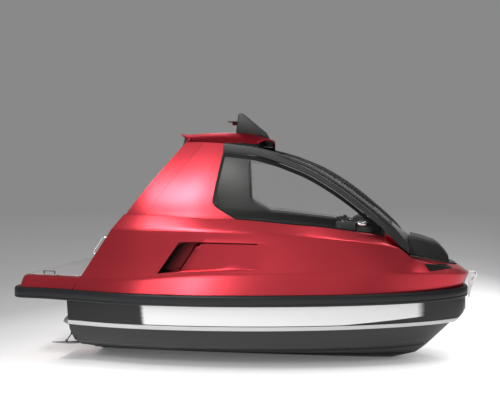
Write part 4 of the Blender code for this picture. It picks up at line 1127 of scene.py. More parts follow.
class JETBOAT_OT_rail(BoatOperator, bpy.types.Operator):
    """Rubber rail round the whole deck edge, with a groove along it."""

    bl_idname = "jetboat.rail"
    bl_label = "Rub rail"

    def build(self, context):
        profile = [
            (-RAIL_DEPTH, RAIL_LOW), (-0.016, RAIL_LOW), (-0.007, RAIL_LOW + 0.006),
            (-0.002, RAIL_LOW + 0.018),
            (0.0, RAIL_LOW + 0.030), (0.0, 0.580), (-0.003, 0.583), (-0.003, 0.588), (0.0, 0.591),
            (0.0, 0.670), (-0.002, 0.684), (-0.006, 0.696), (-0.013, 0.707), (-0.022, 0.7135),
            (-0.03, RAIL_HIGH),
            (-RAIL_DEPTH, RAIL_HIGH),
        ]
        centre = Vector((STERN_RADIUS - HALF_LENGTH, STERN_HALF))
        half = [(p, (p - centre).normalized()) for p in reversed(stern_plan(0.0))]
        half += [rail_edge(x) for x in spread(-3.3, -2.85, 9) + [TRANSOM_X] + body_stations()]
        rows = [[Vector((*(point + normal * out), z)) for out, z in profile] for point, normal in half]
        piece = skin("rail_skin", both_sides(rows), [rail_rubber()], wrap=True, angle=50)
        carried(piece, "boat", ["rub_rail"])


class JETBOAT_OT_platform(BoatOperator, bpy.types.Operator):
    """Stern platform with its planking."""

    bl_idname = "jetboat.platform"
    bl_label = "Stern platform"

    def build(self, context):
        def ring(inward, z, front_x):
            x = front_x
            for _ in range(4):
                x += front_x - inside_rail(x, inward, z).x
            half = [inside_rail(place, inward, z) for place in (x, -2.9, -3.15)]
            half += [Vector((*p, z)) for p in stern_plan(inward)]
            return half + list(reversed(mirrored(half)))

        def front(z):
            return BODY_AFT_X + SLANT * max(z - SLANT_Z, 0.0) + 0.001

        side = RAIL_DEPTH + SHARED
        levels = [
            (side, 0.545, TRANSOM_X - 0.035), (side, 0.6256, TRANSOM_X - 0.035), (side, 0.6257, front(0.62)),
            (side, RAIL_HIGH + TOUCH, front(0.7)),
            (RAIL_DEPTH - 0.005, RAIL_HIGH + 2 * TOUCH, front(RAIL_HIGH)),
            (0.100, 0.755, front(0.755)), (0.115, 0.80, front(0.80)), (0.13, 0.84, front(0.84)),
            (0.142, 0.868, front(0.868)), (0.158, 0.889, front(0.889)), (0.178, 0.901, front(0.901)),
            (0.20, DECK_Z, front(DECK_Z)),
        ]
        piece = skin("platform_skin", [ring(*level) for level in levels], [red_paint()], angle=40)
        carried(piece, "boat", ["stern_platform"])
        refined("platform_planking", planking(), "boat", 0.002)
        for _, label in SIDES:
            refined(f"stern_cleat_{label}", satin_black(), "boat", 0.0)
            refined(f"handrail_{label}", polished(), "boat", 0.0)


class JETBOAT_OT_body(BoatOperator, bpy.types.Operator):
    """Red side walls with their creases and the intake in each side."""

    bl_idname = "jetboat.body"
    bl_label = "Body sides"

    # Places up the side panel, with the share of the intake's depth that each one has
    PANEL = (
        (0.0, 0.0), (0.05, 0.0), (0.106, 0.0), (0.113, 0.03), (0.118, 0.35), (0.127, 0.88), (0.138, 1.0),
        (0.30, 1.0), (0.43, 1.0), (0.55, 1.0), (0.61, 1.0), (0.65, 1.0), (0.68, 1.0), (0.70, 1.0),
        (0.716, 1.0),
        (0.730, 1.0), (0.741, 0.96), (0.748, 0.50), (0.751, 0.03), (0.758, 0.0), (0.87, 0.0), (0.94, 0.0),
        (1.0, 0.0),
    )
    CORNER_FOOT, CORNER_HEAD, CORNER_RADIUS = 0.60, 0.752, 0.12

    def dent(self, station, share):
        """Depth of the intake, whose upper aft corner is rounded."""
        rise = min(max((share - self.CORNER_FOOT) / (self.CORNER_HEAD - self.CORNER_FOOT), 0.0), 1.0)
        place = station - self.CORNER_RADIUS * (1 - math.sqrt(1 - rise * rise))
        inside = INTAKE_DEPTH[0][0] < place and station < INTAKE_DEPTH[-1][0]
        return straight(INTAKE_DEPTH, place) if inside else 0.0

    def section(self, station, crease):
        ends = panel_ends(station)

        def wall(more):
            return [panel_point(station, ends, share, depth * self.dent(station, share) + more)
                    for share, depth in self.PANEL]

        outer = [
            inside_rail(station, RAIL_DEPTH + SHARED, SKIN_FOOT_Z),
            inside_rail(station, RAIL_DEPTH + SHARED, RAIL_HIGH + TOUCH),
            inside_rail(station, RAIL_DEPTH - 0.005, RAIL_HIGH + 2 * TOUCH),
        ] + wall(0.0)
        belt = lean_point(station, BELT_Z, BELT_IN)
        turn = ease((belt.x - 2.1) / 0.5)
        inner_belt = lean_point(station, BELT_Z, BELT_IN, SKIN * (1 - turn))
        inner_belt.z -= 0.05 * turn
        last = len(outer) - 1
        outer = softened(outer + [belt, inner_belt], {3: crease, last: crease * 1.3, last + 1: 0.006}, 5)
        outer = outer[:-1]
        foot = RAIL_DEPTH + SHARED + SKIN
        inner = wall(SKIN)
        inner = [inside_rail(station, foot, SKIN_FOOT_Z), inside_rail(station, foot, RAIL_HIGH + TOUCH),
                 inside_rail(station, foot, RAIL_HIGH + 3 * TOUCH)] + inner + [inner_belt]
        inner = softened(inner, {3: 0.01, len(inner) - 2: 0.01}, 5)
        while len(inner) < len(outer):
            inner.append(inner[-1].copy())
        return outer, inner[:len(outer)]

    def build(self, context):
        crease = context.scene.jet_boat_trim.crease
        stations = body_stations()
        rows = []
        for station in stations:
            outer, inner = self.section(station, crease)
            rows.append(outer + list(reversed(inner)))
        half = len(rows[0]) // 2
        run = stations + list(reversed(stations[:-1]))
        recess, shelf = range(10, 27), range(22, 27)
        recess_aft, recess_front, shelf_front = -1.3841, 0.34, 0.15

        def pick(r, i):
            if i < 0 or i >= half:
                return 1 if i >= half else 0
            low, high = sorted((run[r], run[min(r + 1, len(run) - 1)]))
            if i not in recess or low < recess_aft or high > recess_front:
                return 0
            return 3 if i in shelf and high < shelf_front else 2

        finishes = [red_paint(), lining(), intake_shaded_red(), recess_shade()]
        piece = skin("body_skin", both_sides(rows), finishes, pick, angle=28)
        carried(piece, "boat", ["body_side"])
        self.arch_feet()

    def arch_feet(self):
        """Strip of the side that closes the notch between the belt line and each arch's foot."""
        rows = []
        for x in spread(2.42, 2.93, 24):
            centre, _, rise = arch_frame(x)
            edge = Vector((x, straight(BELT_Y_AT, x) - 0.004, straight(BELT_Z_AT, x) - 0.004))
            arch_low = centre.z - ARCH_DEPTH / 2 * math.sqrt(1 + rise * rise)
            inner = Vector((x, centre.y + ARCH_WIDTH / 2 - 0.012, max(arch_low + 0.012, edge.z + 0.004)))
            drop = Vector((0.0, 0.0, 0.02))
            middle = (edge + inner) / 2 + Vector((0.0, 0.0, 0.006))
            rows.append([edge, middle, inner, inner - drop, middle - drop, edge - drop])

        def pick(r, i):
            return 1 if r < 3 else 0

        # The strip's red is the darkened roof red, painted shade for the gap under each arch's foot.
        port = skin("arch_foot_port", rows, [roof_red(), glass_border()], pick, angle=50)
        carried_pair(port)


class JETBOAT_OT_upper(BoatOperator, bpy.types.Operator):
    """Tail and quarter panels that carry the roof."""

    bl_idname = "jetboat.upper"
    bl_label = "Upper sides"

    def build(self, context):
        shares = spread(0.0, 0.1764, 8) + spread(0.21, 1.0, 20)

        def panel(name, side, aft, front, columns, node):
            rows = []
            for c in columns:
                outer = []
                for share in shares:
                    z = mix(2.0, 3.2, share)
                    for _ in range(16):
                        x = mix(aft(z), front(z), c)
                        z = mix(straight(BELT_Z_AT, x) + PANEL_GAP, straight(RIM_LINE, x) - PANEL_GAP, share)
                    outer.append(Vector((x, side_y(x, z) - 0.002, z)))
                inner = [Vector((p.x, p.y - PANEL_WALL, p.z)) for p in reversed(outer)]
                rows.append(outer + inner)
            if side < 0:
                rows = [mirrored(row) for row in rows]
            half = len(shares)

            def pick(r, i):
                front_end = i < 0 and r > 0
                return 1 if front_end or half <= i < 2 * half - 1 else 0

            piece = skin(name, rows, [red_paint(), lining()], pick)
            carried(piece, "boat", [node])

        def soft_edge(z):
            """The window's edge with its corners rounded."""
            if z < 1.99:
                return window_edge(z)
            return sum(window_edge(z + d) for d in (-0.07, -0.035, 0.0, 0.035, 0.07)) / 5

        for side, label in SIDES:
            panel(f"tail_skin_{label}", side, tail_edge, lambda z: seam_x(z) - SHARED, spread(0, 1, 8),
                  f"tail_panel_{label}")
            panel(f"quarter_skin_{label}", side, lambda z: seam_x(z) + SHARED, soft_edge, spread(0, 1, 16),
                  f"quarter_panel_{label}")


class JETBOAT_OT_roof(BoatOperator, bpy.types.Operator):
    """Roof with its rolled front lip."""

    bl_idname = "jetboat.roof"
    bl_label = "Roof"

    def build(self, context):
        shares = [-1.0, -0.985] + spread(-0.96, 0.96, 40) + [0.985, 1.0]
        stations = spread(-1.13, -0.99, 6) + spread(-0.95, 0.28, 26)
        rows = []
        for x in stations:
            half = 0.74 - 0.08 * ease((-0.95 - x) / 0.18)
            thick = mix(0.012, 0.04, ease((x + 1.13) / 0.2))
            ring = []
            for wall, order in ((0.0, shares), (1.0, list(reversed(shares)))):
                for share in order:
                    place = x + roof_shift(x, share)
                    y = share * (half - 0.04 * wall)
                    ring.append(Vector((place, y, roof_z(place, y, thick * wall, half - 0.04 * wall))))
            rows.append(ring)
        count = len(shares)

        def pick(r, i):
            return 1 if i >= count else 0

        piece = skin("roof_skin", rows, [roof_red(), lining()], pick, angle=40)
        carried(piece, "boat", ["roof_cap"])
        lip = []
        for share in spread(-0.97, 0.97, 30):
            place = 0.28 + roof_shift(0.28, share)
            y = share * 0.72
            lip.append(Vector((place - 0.004, y, roof_z(place, y) - 0.022)))
        carried(pipe("roof_lip", lip, 0.022, roof_red()), "boat")
        refined("windshield_header", satin_black(), "boat", 0.004)
        rows = []
        for x in spread(-0.19, 0.30, 24):
            low, high = smooth(ARCH_Z, x), smooth(ROOF_RIM, x) - 0.004
            corners = ((0.712, high), (0.735, high - 0.006), (0.735, low), (0.70, low))
            rows.append([Vector((x, y, z)) for y, z in corners])
        carried_pair(skin("roof_gutter_port", rows, [glass_border()], angle=40))


class JETBOAT_OT_arches(BoatOperator, bpy.types.Operator):
    """Roof arches that frame the windscreen."""

    bl_idname = "jetboat.arches"
    bl_label = "Roof arches"

    def build(self, context):
        across, deep, corner = ARCH_WIDTH / 2, ARCH_DEPTH / 2, 0.026
        ring = []
        for quarter, (u, v) in enumerate(((1, 1), (-1, 1), (-1, -1), (1, -1))):
            for i in range(6):
                a = math.pi / 2 * (quarter + i / 5)
                out, up = corner * math.cos(a), corner * math.sin(a)
                ring.append(((across - corner) * u + out, (deep - corner) * v + up))
        rows = []
        for x in spread(-0.235, 2.86, 60):
            centre, normal, _ = arch_frame(x)
            row = []
            for y, n in ring:
                p = centre + normal * n
                p.y = smooth(ARCH_Y, p.x) + y
                foot = straight(BELT_Z_AT, p.x - 0.09) + 0.02
                p.z = foot if x > 2.5 and n < corner - deep + 0.001 else min(max(p.z, foot), 3.18)
                if not rows:
                    p.x = window_edge(p.z) + 2 * TOUCH
                row.append(p)
            rows.append(row)
        carried_pair(skin("arch_skin_port", rows, [satin_black()], angle=40), "arch")
        for name, start, end, low, wide, material in (
            ("arch_slot", 0.55, 2.62, 0.034, 0.016, glass_border()),
            ("arch_trim", 0.95, 2.45, 0.020, 0.006, cast_alloy()),
        ):
            carried_pair(self.line(name + "_port", start, end, low, wide, material))

    def line(self, name, start, end, low, wide, material):
        """Thin raised line along an arch's outer face."""
        rows = []
        for x in spread(start, end, 60):
            centre, normal, _ = arch_frame(x)
            taper = wide / 2 * ease(min(x - start, end - x) / 0.25) + 0.0006
            row = []
            for n, out in ((low - taper, -0.002), (low - taper * 0.6, 0.0025), (low + taper * 0.6, 0.0025),
                           (low + taper, -0.002)):
                p = centre + normal * n
                p.y = smooth(ARCH_Y, p.x) + ARCH_WIDTH / 2 + out
                row.append(p)
            rows.append(row)
        return skin(name, rows, [material], angle=50)


class JETBOAT_OT_glazing(BoatOperator, bpy.types.Operator):
    """Windscreen, cowl and side windows with their black borders."""

    bl_idname = "jetboat.glazing"
    bl_label = "Glazing"

    def build(self, context):
        frit = context.scene.jet_boat_trim.frit
        inner_shares = spread(-0.93, 0.93, 22)
        shares = [-1.0] + inner_shares + [1.0]

        def screen(x, thick):
            half = smooth(ARCH_Y, x) - ARCH_WIDTH / 2 + 0.010
            outer = [
                Vector((x, half * s, smooth(ARCH_Z, x) + smooth(GLASS_CROWN, x) * (1 - s * s)))
                for s in shares
            ]
            return outer + [Vector((p.x, p.y, p.z - thick)) for p in reversed(outer)]

        last = len(shares)

        def edge_pick(r, i):
            border = (0, last - 2, last - 1, last, 2 * last - 2, 2 * last - 1, -1)
            return 1 if i in border or r in (0, 41) else 0

        stations = [0.1004] + spread(0.14, 2.54, 40) + [2.59]
        finishes = [screen_film(), glass_border()]
        piece = skin("windscreen", [screen(x, 0.014) for x in stations], finishes, edge_pick)
        carried(piece, "boat", ["windshield"])
        cowl = finish("cowl_satin", (0.10, 0.10, 0.102), 0.38, 0.0, 0.1, 0.2)
        piece = skin("cowl_skin", [screen(x, 0.03) for x in spread(2.5904, 2.884, 10)], [cowl])
        carried(piece, "boat", ["cowl"])
        start, end = 0.084, 2.44
        feet = [-0.334, -0.30] + spread(-0.24, start, 7) + spread(start + 0.03, end, 44)
        heads = [-0.258, -0.225] + spread(-0.18, start, 7) + feet[10:]
        rows = []
        for foot, head in zip(feet, heads):
            _, _, rise = arch_frame(head)
            low = straight(BELT_Z_AT, foot) + 0.0008 + 0.56 * max(start - foot, 0.0)
            below = ARCH_DEPTH / 2 + mix(0.010, 0.030, ease((head - 2.3) / 0.14))
            high = smooth(ARCH_Z, head) - below * math.sqrt(1 + rise * rise)
            border = min(frit, (high - low) * 0.3)
            outer = []
            for z in [low] + spread(low + border * 0.5, high - border * 2, 8) + [high]:
                x = mix(foot, head, (z - low) / (high - low))
                outer.append(Vector((x, side_y(x, z) - 0.012, z)))
            rows.append(outer + [Vector((p.x, p.y - 0.01, p.z)) for p in reversed(outer)])
        tall = len(rows[0]) // 2

        def side_pick(r, i):
            rim = i in (0, tall - 2, tall - 1, tall, 2 * tall - 2, 2 * tall - 1, -1)
            return 1 if rim or r == 0 or feet[min(r, len(feet) - 1)] > 2.33 else 0

        port = skin("side_window_port", rows, [clear_glass(), glass_border()], side_pick)
        carried_pair(port, "side_glass")


class JETBOAT_OT_bow(BoatOperator, bpy.types.Operator):
    """Hood over the bow locker, bow lamps, stem plate and anchor."""

    bl_idname = "jetboat.bow"
    bl_label = "Bow"

    def build(self, context):
        refined("locker_coaming", satin_black(), "boat", 0.008, 3)
        refined("locker_lid", hood_finish(), "bow_lid", 0.022, 4, 25)
        refined("stem_plate", anchor_alloy(), "boat", 0.002)
        self.anchor()
        self.lamps()

    def anchor(self):
        """Anchor hung from the stem plate: bent shank, crown pin and two flukes."""
        outline = [
            (3.925, 0.945), (4.040, 0.940), (4.036, 0.885), (3.998, 0.78), (3.958, 0.66), (3.932, 0.50),
            (3.912, 0.49), (3.908, 0.66), (3.918, 0.76), (3.918, 0.86),
        ]
        rows = []
        for side in (-1, 1):
            rows.append([Vector((x, side * mix(0.020, 0.010, (0.94 - z) / 0.45), z)) for x, z in outline])
        shank = bevelled(skin("anchor_shank", rows, [anchor_alloy()]), 0.004)
        pin = drum("anchor_pin", (4.030, -0.07, 0.925), (4.030, 0.07, 0.925), 0.017, cast_alloy())
        pieces = [shank, pin]
        for side in (-1, 1):
            fluke = pipe("anchor_fluke", [(3.975, 0.02 * side, 0.80), (4.015, 0.045 * side, 0.835),
                                          (4.045, 0.06 * side, 0.895), (4.040, 0.065 * side, 0.945)],
                         0.015, anchor_alloy())
            pieces.append(fluke)
        carried(joined("anchor_whole", pieces), "boat", ["anchor"])

    def lamps(self):
        """Dark lamp glass in each bow side."""
        side = BVHTree.FromObject(bpy.data.objects["body_skin"], bpy.context.evaluated_depsgraph_get())
        top_edge, foot_edge = [(3.12, 1.16), (3.50, 1.116), (3.605, 1.066)], [(3.235, 1.038), (3.605, 1.056)]
        rows = []
        for share in spread(0.0, 1.0, 40):
            high_x, low_x = mix(3.14, 3.605, share), mix(3.235, 3.605, share)
            high = Vector((high_x, 0.0, straight(top_edge, high_x)))
            low = Vector((low_x, 0.0, straight(foot_edge, low_x)))
            column = []
            for part in [0.0] + spread(0.08, 0.92, 14) + [1.0]:
                p = low.lerp(high, part)
                hit = side.ray_cast(Vector((p.x, 3.0, p.z)), Vector((0.0, -1.0, 0.0)))[0]
                column.append(hit + Vector((0.0, -0.001 if part in (0.0, 1.0) else 0.009, 0.0)))
            rows.append(column + [Vector((p.x, p.y - 0.02, p.z)) for p in reversed(column)])
        carried_pair(skin("bow_lamp_glass_port", rows, [glass_border()], angle=40), "bow_lamp")


class JETBOAT_OT_mast(BoatOperator, bpy.types.Operator):
    """Fin on the roof with its plate and lamp."""

    bl_idname = "jetboat.mast"
    bl_label = "Roof fin"

    def build(self, context):
        fin = finish("fin_satin", (0.008, 0.008, 0.008), 0.36, 0.0, 0.0, 0.3, 0.08, 700.0, 0.05, 0.3)
        refined("mast_fin", fin, "boat", 0.016, 4, 40)
        refined("mast_plate", satin_black(), "boat", 0.003)
        low, high = (-0.345, -0.030, 3.545), (-0.262, 0.030, 3.6005)
        bracket = block("mast_bracket", low, high, recess_shade(), 0.010, 2)
        carried(bracket, "boat")
        lamp = refined("mast_lamp", lamp_lens(), "boat", 0.0)
        foot = Vector((-0.30, 0.0, 3.6173))
        lamp.data.transform(Matrix.Translation(foot) @ Matrix.Scale(0.62, 4) @ Matrix.Translation(-foot))


class JETBOAT_OT_cabin(BoatOperator, bpy.types.Operator):
    """Cabin's inside: bulkhead, roof corners, door, sole, dash and wheel."""

    bl_idname = "jetboat.cabin"
    bl_label = "Cabin"

    def build(self, context):
        refined("aft_bulkhead", lining(), "boat", 0.0)
        wall = side_y(-1.0, 3.10) - PANEL_WALL - 0.001
        corner = [(0.60, 3.10), (wall, 3.10), (wall, 3.27), (0.60, 3.27)]
        rows = [[Vector((tail_edge(z) + shift, y, z)) for y, z in corner] for shift in (0.010, 0.045)]
        carried_pair(skin("roof_corner_port", rows, [roof_red()]))
        refined("cabin_door", satin_black(), "door", 0.004)
        refined("door_glass", clear_glass(), "door", 0.0)
        refined("door_handle", polished(), "door", 0.0)
        refined("cabin_sole", planking(), "boat", 0.0)
        refined("dashboard", lining(), "boat", 0.012, 3)
        knob = (0.042, 0.042, 0.042)
        pods = [ball(*form) for form in (
            ((2.06, -0.40, 1.66), (0.34, 0.30, 0.27), 40, 20, pod_finish()),
            ((2.06, 0.40, 1.66), (0.34, 0.30, 0.27), 40, 20, pod_finish()),
            ((1.82, -0.60, 1.85), (0.15, 0.15, 0.07), 40, 20, pod_finish()),
            ((1.68, -0.62, 1.885), knob, 20, 12, pod_finish()),
            ((1.74, -0.66, 1.90), knob, 20, 12, pod_finish()),
            ((1.80, -0.58, 1.915), knob, 20, 12, pod_finish()),
            ((2.09, -0.66, 1.805), (0.10, 0.07, 0.055), 32, 16, polished()),
            ((2.17, -0.52, 1.90), (0.05, 0.05, 0.04), 32, 16, polished()),
        )]
        carried(smooth_shaded(joined("dash_pods", pods), 60), "boat")
        refined("steering_wheel", leather(), "wheel", 0.0)


class JETBOAT_OT_seats(BoatOperator, bpy.types.Operator):
    """Helm seats and benches: padded cushions on plinths."""

    bl_idname = "jetboat.seats"
    bl_label = "Seats"

    GROOVE_WIDTH, GROOVE_DEPTH, PIPING = 0.007, 0.010, 0.006
    FILL_FRAMES = 20

    def cushion(self, name, half, place, turn, channels, cap):
        """A filled pad, flat below and crowned above, with sewn channels across it."""
        deselect()
        bpy.ops.mesh.primitive_cube_add(size=2.0)
        pad = bpy.context.object
        pad.name = pad.data.name = name
        bpy.ops.object.mode_set(mode="EDIT")
        bpy.ops.mesh.select_all(action="SELECT")
        bpy.ops.mesh.subdivide(number_cuts=15)
        bpy.ops.object.mode_set(mode="OBJECT")
        for vertex in pad.data.vertices:
            u, v, w = vertex.co
            crown = 0.62 + 0.38 * (1 - u**4) * (1 - v**4)
            vertex.co = (
                half[0] * u * (0.97 - 0.035 * (1 - v * v)),
                half[1] * v * (0.97 - 0.035 * (1 - u * u)),
                half[2] * (w * crown if w > 0 else w * 0.9),
            )
        bevelled(pad, half[2] * 0.45, 3, 50)
        remesh = pad.modifiers.new("even", "REMESH")
        remesh.mode = "VOXEL"
        remesh.voxel_size = 0.010
        apply_all(pad)
        self.filled(pad, cap, -half[2] * 0.9)
        for vertex in pad.data.vertices:
            x, z = vertex.co.x, vertex.co.z
            groove = sum(math.exp(-(((x - c * half[0]) / self.GROOVE_WIDTH) ** 2)) for c in channels)
            if z > 0:
                vertex.co.z -= self.GROOVE_DEPTH * groove
            edge = math.exp(-(((z + half[2] * 0.1) / self.PIPING) ** 2))
            pull = 1 - self.PIPING * edge / max(half[0], half[1])
            vertex.co.x *= pull
            vertex.co.y *= pull
        finer = pad.modifiers.new("finer", "SUBSURF")
        finer.levels = finer.render_levels = 1
        apply_all(pad)
        pad.data.transform(Matrix.Translation(place) @ Matrix.Rotation(math.radians(turn), 4, "Y"))
        pad.data.materials.append(leather())
        return smooth_shaded(pad, 60)

    def filled(self, pad, cap, foot):
        """Blows the pad up as cloth, with no point moved further than cap."""
        scene = bpy.context.scene
        start = [vertex.co.copy() for vertex in pad.data.vertices]
        cloth = pad.modifiers.new("fill", "CLOTH")
        cloth.settings.quality = 5
        cloth.settings.use_pressure = True
        cloth.settings.uniform_pressure_force = 4.0
        cloth.settings.effector_weights.gravity = 0.0
        cloth.collision_settings.use_collision = False
        cloth.point_cache.frame_start, cloth.point_cache.frame_end = 1, self.FILL_FRAMES
        for frame_number in range(1, self.FILL_FRAMES + 1):
            scene.frame_set(frame_number)
        apply_all(pad)
        for vertex, before in zip(pad.data.vertices, start):
            move = vertex.co - before
            if move.length > cap:
                move *= cap / move.length
            vertex.co = before + move
            vertex.co.z = max(vertex.co.z, foot)
        scene.frame_set(1)

    def build(self, context):
        middle_helm, middle_bench = 0.68, 0.765
        pads = [
            ("helm_cushion", (0.285, 0.262, 0.052), (0.655, middle_helm, 1.052), 0.0, (-0.34, 0.34),
             "helm_seat"),
            ("helm_back", (0.300, 0.255, 0.045), (0.335, middle_helm, 1.41), 83.6, (-0.4, 0.0, 0.4), None),
            ("bench_cushion", (0.205, 0.300, 0.052), (-0.635, middle_bench, 1.040), 0.0, (0.0,), "bench"),
            ("bench_back", (0.250, 0.300, 0.040), (-0.905, middle_bench, 1.36), 88.0, (-0.34, 0.34), None),
        ]
        for name, half, place, turn, channels, node in pads:
            port = self.cushion(f"{name}_port", half, place, turn, channels, 0.022)
            for piece in carried_pair(port, node):
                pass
        bases = [
            ("helm_plinth", (0.43, 0.45, 0.6605), (0.79, 0.91, 0.998), 0.0),
            ("helm_shell", (0.262, 0.45, 1.02), (0.288, 0.91, 1.70), -6.4),
            ("bench_plinth", (-0.96, 0.47, 0.6605), (-0.47, 1.06, 0.990), 0.0),
        ]
        for name, low, high, turn in bases:
            port = block(f"{name}_port", low, high, satin_black(), 0.012, 3)
            foot = Vector((low[0], 0.0, low[2]))
            lean = Matrix.Translation(foot) @ Matrix.Rotation(math.radians(turn), 4, "Y")
            port.data.transform(lean @ Matrix.Translation(-foot))
            carried_pair(port)


class JETBOAT_OT_cockpit(BoatOperator, bpy.types.Operator):
    """Open cockpit aft of the cabin, with the engine under its hatch."""

    bl_idname = "jetboat.cockpit"
    bl_label = "Cockpit"

    def build(self, context):
        refined("cockpit_deck", planking(), "boat", 0.0)
        refined("engine_hatch", planking(), "hatch", 0.002)
        refined("engine_block", cast_alloy(), "boat", 0.0)


class JETBOAT_OT_drive(BoatOperator, bpy.types.Operator):
    """Water jet, nozzle, reverse bucket and trim tabs."""

    bl_idname = "jetboat.drive"
    bl_label = "Drive"

    def build(self, context):
        refined("jet_housing", cast_alloy(), "boat", 0.003)
        refined("steering_nozzle", satin_black(), "nozzle", 0.002)
        refined("reverse_bucket", cast_alloy(), "bucket", 0.002)
        for _, label in SIDES:
            refined(f"trim_tab_{label}", dark_steel(), f"tab_{label}", 0.002)
            refined(f"tab_actuator_{label}", glass_border(), f"actuator_{label}", 0.002)
            refined(f"tab_ram_{label}", dark_steel(), f"ram_{label}", 0.0)
            refined(f"tab_bracket_{label}", cast_alloy(), "boat", 0.002)


class JETBOAT_OT_wiper(BoatOperator, bpy.types.Operator):
    """Windscreen wiper."""

    bl_idname = "jetboat.wiper"
    bl_label = "Wiper"

    def build(self, context):
        refined("wiper", gloss_black(), "boat", 0.0)


class JETBOAT_OT_studio(BoatOperator, bpy.types.Operator):
    """White floor that fades into a grey backdrop, soft lights and the camera."""

    bl_idname = "jetboat.studio"
    bl_label = "Studio"

    # Tones of the floor by distance from the middle of its white pool: painted colour, own glow, cover
    TONES = (
        (0.0, 0.80, 0.66, 1.0), (8.5, 0.80, 0.64, 1.0), (10.8, 0.60, 0.42, 1.0), (13.5, 0.22, 0.34, 1.0),
        (17.6, 0.0, 0.36, 1.0), (22.0, 0.0, 0.32, 1.0), (30.0, 0.0, 0.285, 1.0), (46.0, 0.0, 0.258, 1.0),
        (59.0, 0.0, 0.25, 0.0),
    )
    POOL = (6.0, -3.0)
    NEAR_STRETCH = 0.35
    BOW_STRETCH = (6.0, 7.6)
    FLOOR_REACH = 60.0

    def light(self, name, place, aim, width, power, shape="DISK", height=None):
        lamp = bpy.data.lights.new(name, "AREA")
        lamp.shape = shape
        lamp.size = width
        if height:
            lamp.size_y = height
        lamp.energy = power
        obj = bpy.data.objects.new(name, lamp)
        bpy.context.scene.collection.objects.link(obj)
        obj.location = place
        obj.rotation_euler = (Vector(aim) - Vector(place)).to_track_quat("-Z", "Y").to_euler()
        obj.visible_camera = obj.visible_transmission = False
        return obj

    def floor_finish(self, floor_z):
        """Pale floor with a painted pool of light round the boat, dimmed close under the hull as painted
        shadow.
        """
        material = plain_material("studio_floor", {"Roughness": 0.35, "Specular IOR Level": 0.0})
        tree = material.node_tree
        middle = (*self.POOL, floor_z)
        offset = add_node(tree, "VectorMath", {0: own_place(tree), 1: middle}, operation="SUBTRACT")
        axes = axes_of(tree, offset.outputs["Vector"])
        near = calculated(tree, "MULTIPLY", axes["Y"], self.NEAR_STRETCH)
        across = calculated(tree, "MAXIMUM", axes["Y"], near)
        ahead = calculated(tree, "MULTIPLY_ADD", axes["X"], *self.BOW_STRETCH)
        along = calculated(tree, "MAXIMUM", axes["X"], ahead)
        stretched = add_node(tree, "CombineXYZ", {"X": along, "Y": across})
        far = add_node(tree, "VectorMath", {0: stretched.outputs["Vector"]}, operation="LENGTH")
        reach = mapped(tree, far.outputs["Value"], 0.0, self.FLOOR_REACH)
        for column, label in ((1, "Base Color"), (2, "Emission Color"), (3, "Alpha")):
            stops = [(tone[0] / self.FLOOR_REACH, grey(tone[column])) for tone in self.TONES]
            to_shader(material, label, ramp(tree, reach, stops))
        # Painted shadow: the floor's glow is dimmed where the hull closes over it.
        shade = add_node(tree, "AmbientOcclusion", {"Distance": 0.6}, samples=8)
        open_share = calculated(tree, "MULTIPLY_ADD", shade.outputs["AO"], 0.9, 0.1)
        to_shader(material, "Emission Strength", open_share)
        return material

    def build(self, context):
        studio = context.scene.jet_boat_studio
        floor_z = CAD_BOX[0][2] - 0.002
        deselect()
        bpy.ops.mesh.primitive_circle_add(
            vertices=96, radius=self.FLOOR_REACH, fill_type="NGON", location=(*self.POOL, floor_z),
        )
        floor = bpy.context.object
        floor.name = floor.data.name = "studio_floor"
        settle(floor)
        floor.data.materials.append(self.floor_finish(floor_z))

        world = bpy.data.worlds.new("studio")
        context.scene.world = world
        world.use_nodes = True
        back = world.node_tree.nodes["Background"]
        back.inputs["Color"].default_value = (*studio.backdrop, 1.0)

        for side, label in SIDES:
            power = studio.key if side < 0 else studio.key * studio.far
            self.light(f"key_{label}", (-3.5, 7.2 * side, 8.8), (-0.4, 0.6 * side, 1.4), 2.3, power)
            place, aim = (-3.1, 8.9 * side, 5.7), (-0.6, 1.2 * side, 1.2)
            self.light(f"low_key_{label}", place, aim, 1.8, power * studio.low)
            self.light(f"front_box_{label}", (2.5, 17.0 * side, 6.5), (0.5, 0.0, 1.2), 16.0, studio.front,
                       "RECTANGLE", 8.0)
            self.light(f"bow_box_{label}", (7.4, 3.3 * side, 8.6), (2.9, 1.0 * side, 1.2), 2.6, studio.bow)
            self.light(f"streak_{label}", (4.7, 4.4 * side, 8.6), (2.1, 1.3 * side, 1.6), 1.6, studio.streak)
            for name, place, aim, width, share in (
                ("cabin", (-0.1, -0.45 * side, 2.7), (-0.8, 0.9 * side, 2.3), 0.5, 0.6),
                ("glow", (-0.74, 0.42 * side, 2.56), (-0.86, 0.92 * side, 2.42), 0.25, 0.25),
            ):
                inside = self.light(f"{name}_{label}", place, aim, width, studio.cabin * share)
                inside.visible_glossy = False
        self.light("top_box", (0.0, 0.0, 11.0), (0.0, 0.0, 0.0), 16.0, studio.top, "RECTANGLE", 12.0)

        camera = bpy.data.cameras.new("photo_view")
        camera.lens = studio.focal
        camera.sensor_width = 36.0
        camera.shift_x, camera.shift_y = studio.shift
        obj = bpy.data.objects.new("photo_view", camera)
        context.scene.collection.objects.link(obj)
        obj.location = studio.place
        obj.rotation_euler = (math.radians(90.0), 0.0, studio.yaw)
        context.scene.camera = obj
        context.scene.view_settings.view_transform = "Standard"


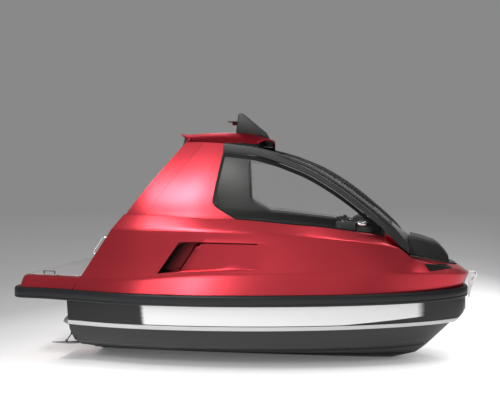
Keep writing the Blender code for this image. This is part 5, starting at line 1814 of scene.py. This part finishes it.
class JETBOAT_PT_panel(bpy.types.Panel):
    """Lists the boat's pieces."""

    bl_idname = "JETBOAT_PT_panel"
    bl_label = "Jet boat"
    bl_space_type = "VIEW_3D"
    bl_region_type = "UI"
    bl_category = "Jet boat"

    def draw(self, context):
        scene = context.scene
        for group in (scene.jet_boat_paint, scene.jet_boat_trim, scene.jet_boat_studio):
            column = self.layout.column(align=True)
            for label in group.__annotations__:
                column.prop(group, label)
        for piece in PIECES:
            self.layout.operator(piece.bl_idname)


PIECES = (
    JETBOAT_OT_hull, JETBOAT_OT_topsides, JETBOAT_OT_rail, JETBOAT_OT_platform, JETBOAT_OT_body,
    JETBOAT_OT_upper,
    JETBOAT_OT_roof, JETBOAT_OT_arches, JETBOAT_OT_glazing, JETBOAT_OT_bow, JETBOAT_OT_mast, JETBOAT_OT_cabin,
    JETBOAT_OT_seats, JETBOAT_OT_cockpit, JETBOAT_OT_drive, JETBOAT_OT_wiper, JETBOAT_OT_studio,
)
CLASSES = (BoatPaint, BoatTrim, BoatStudio, JETBOAT_PT_panel) + PIECES


def register():
    for cls in CLASSES:
        bpy.utils.register_class(cls)
    bpy.types.Scene.jet_boat_paint = bpy.props.PointerProperty(type=BoatPaint)
    bpy.types.Scene.jet_boat_trim = bpy.props.PointerProperty(type=BoatTrim)
    bpy.types.Scene.jet_boat_studio = bpy.props.PointerProperty(type=BoatStudio)


def unregister():
    del bpy.types.Scene.jet_boat_paint
    del bpy.types.Scene.jet_boat_trim
    del bpy.types.Scene.jet_boat_studio
    for cls in reversed(CLASSES):
        bpy.utils.unregister_class(cls)


def main():
    register()
    bpy.ops.jetboat.hull()
    bpy.ops.jetboat.topsides()
    bpy.ops.jetboat.rail()
    bpy.ops.jetboat.platform()
    bpy.ops.jetboat.body()
    bpy.ops.jetboat.upper()
    bpy.ops.jetboat.roof()
    bpy.ops.jetboat.arches()
    bpy.ops.jetboat.glazing()
    bpy.ops.jetboat.bow()
    bpy.ops.jetboat.mast()
    bpy.ops.jetboat.cabin()
    bpy.ops.jetboat.seats()
    bpy.ops.jetboat.cockpit()
    bpy.ops.jetboat.drive()
    bpy.ops.jetboat.wiper()
    bpy.ops.jetboat.studio()


if __name__ == "__main__":
    main()
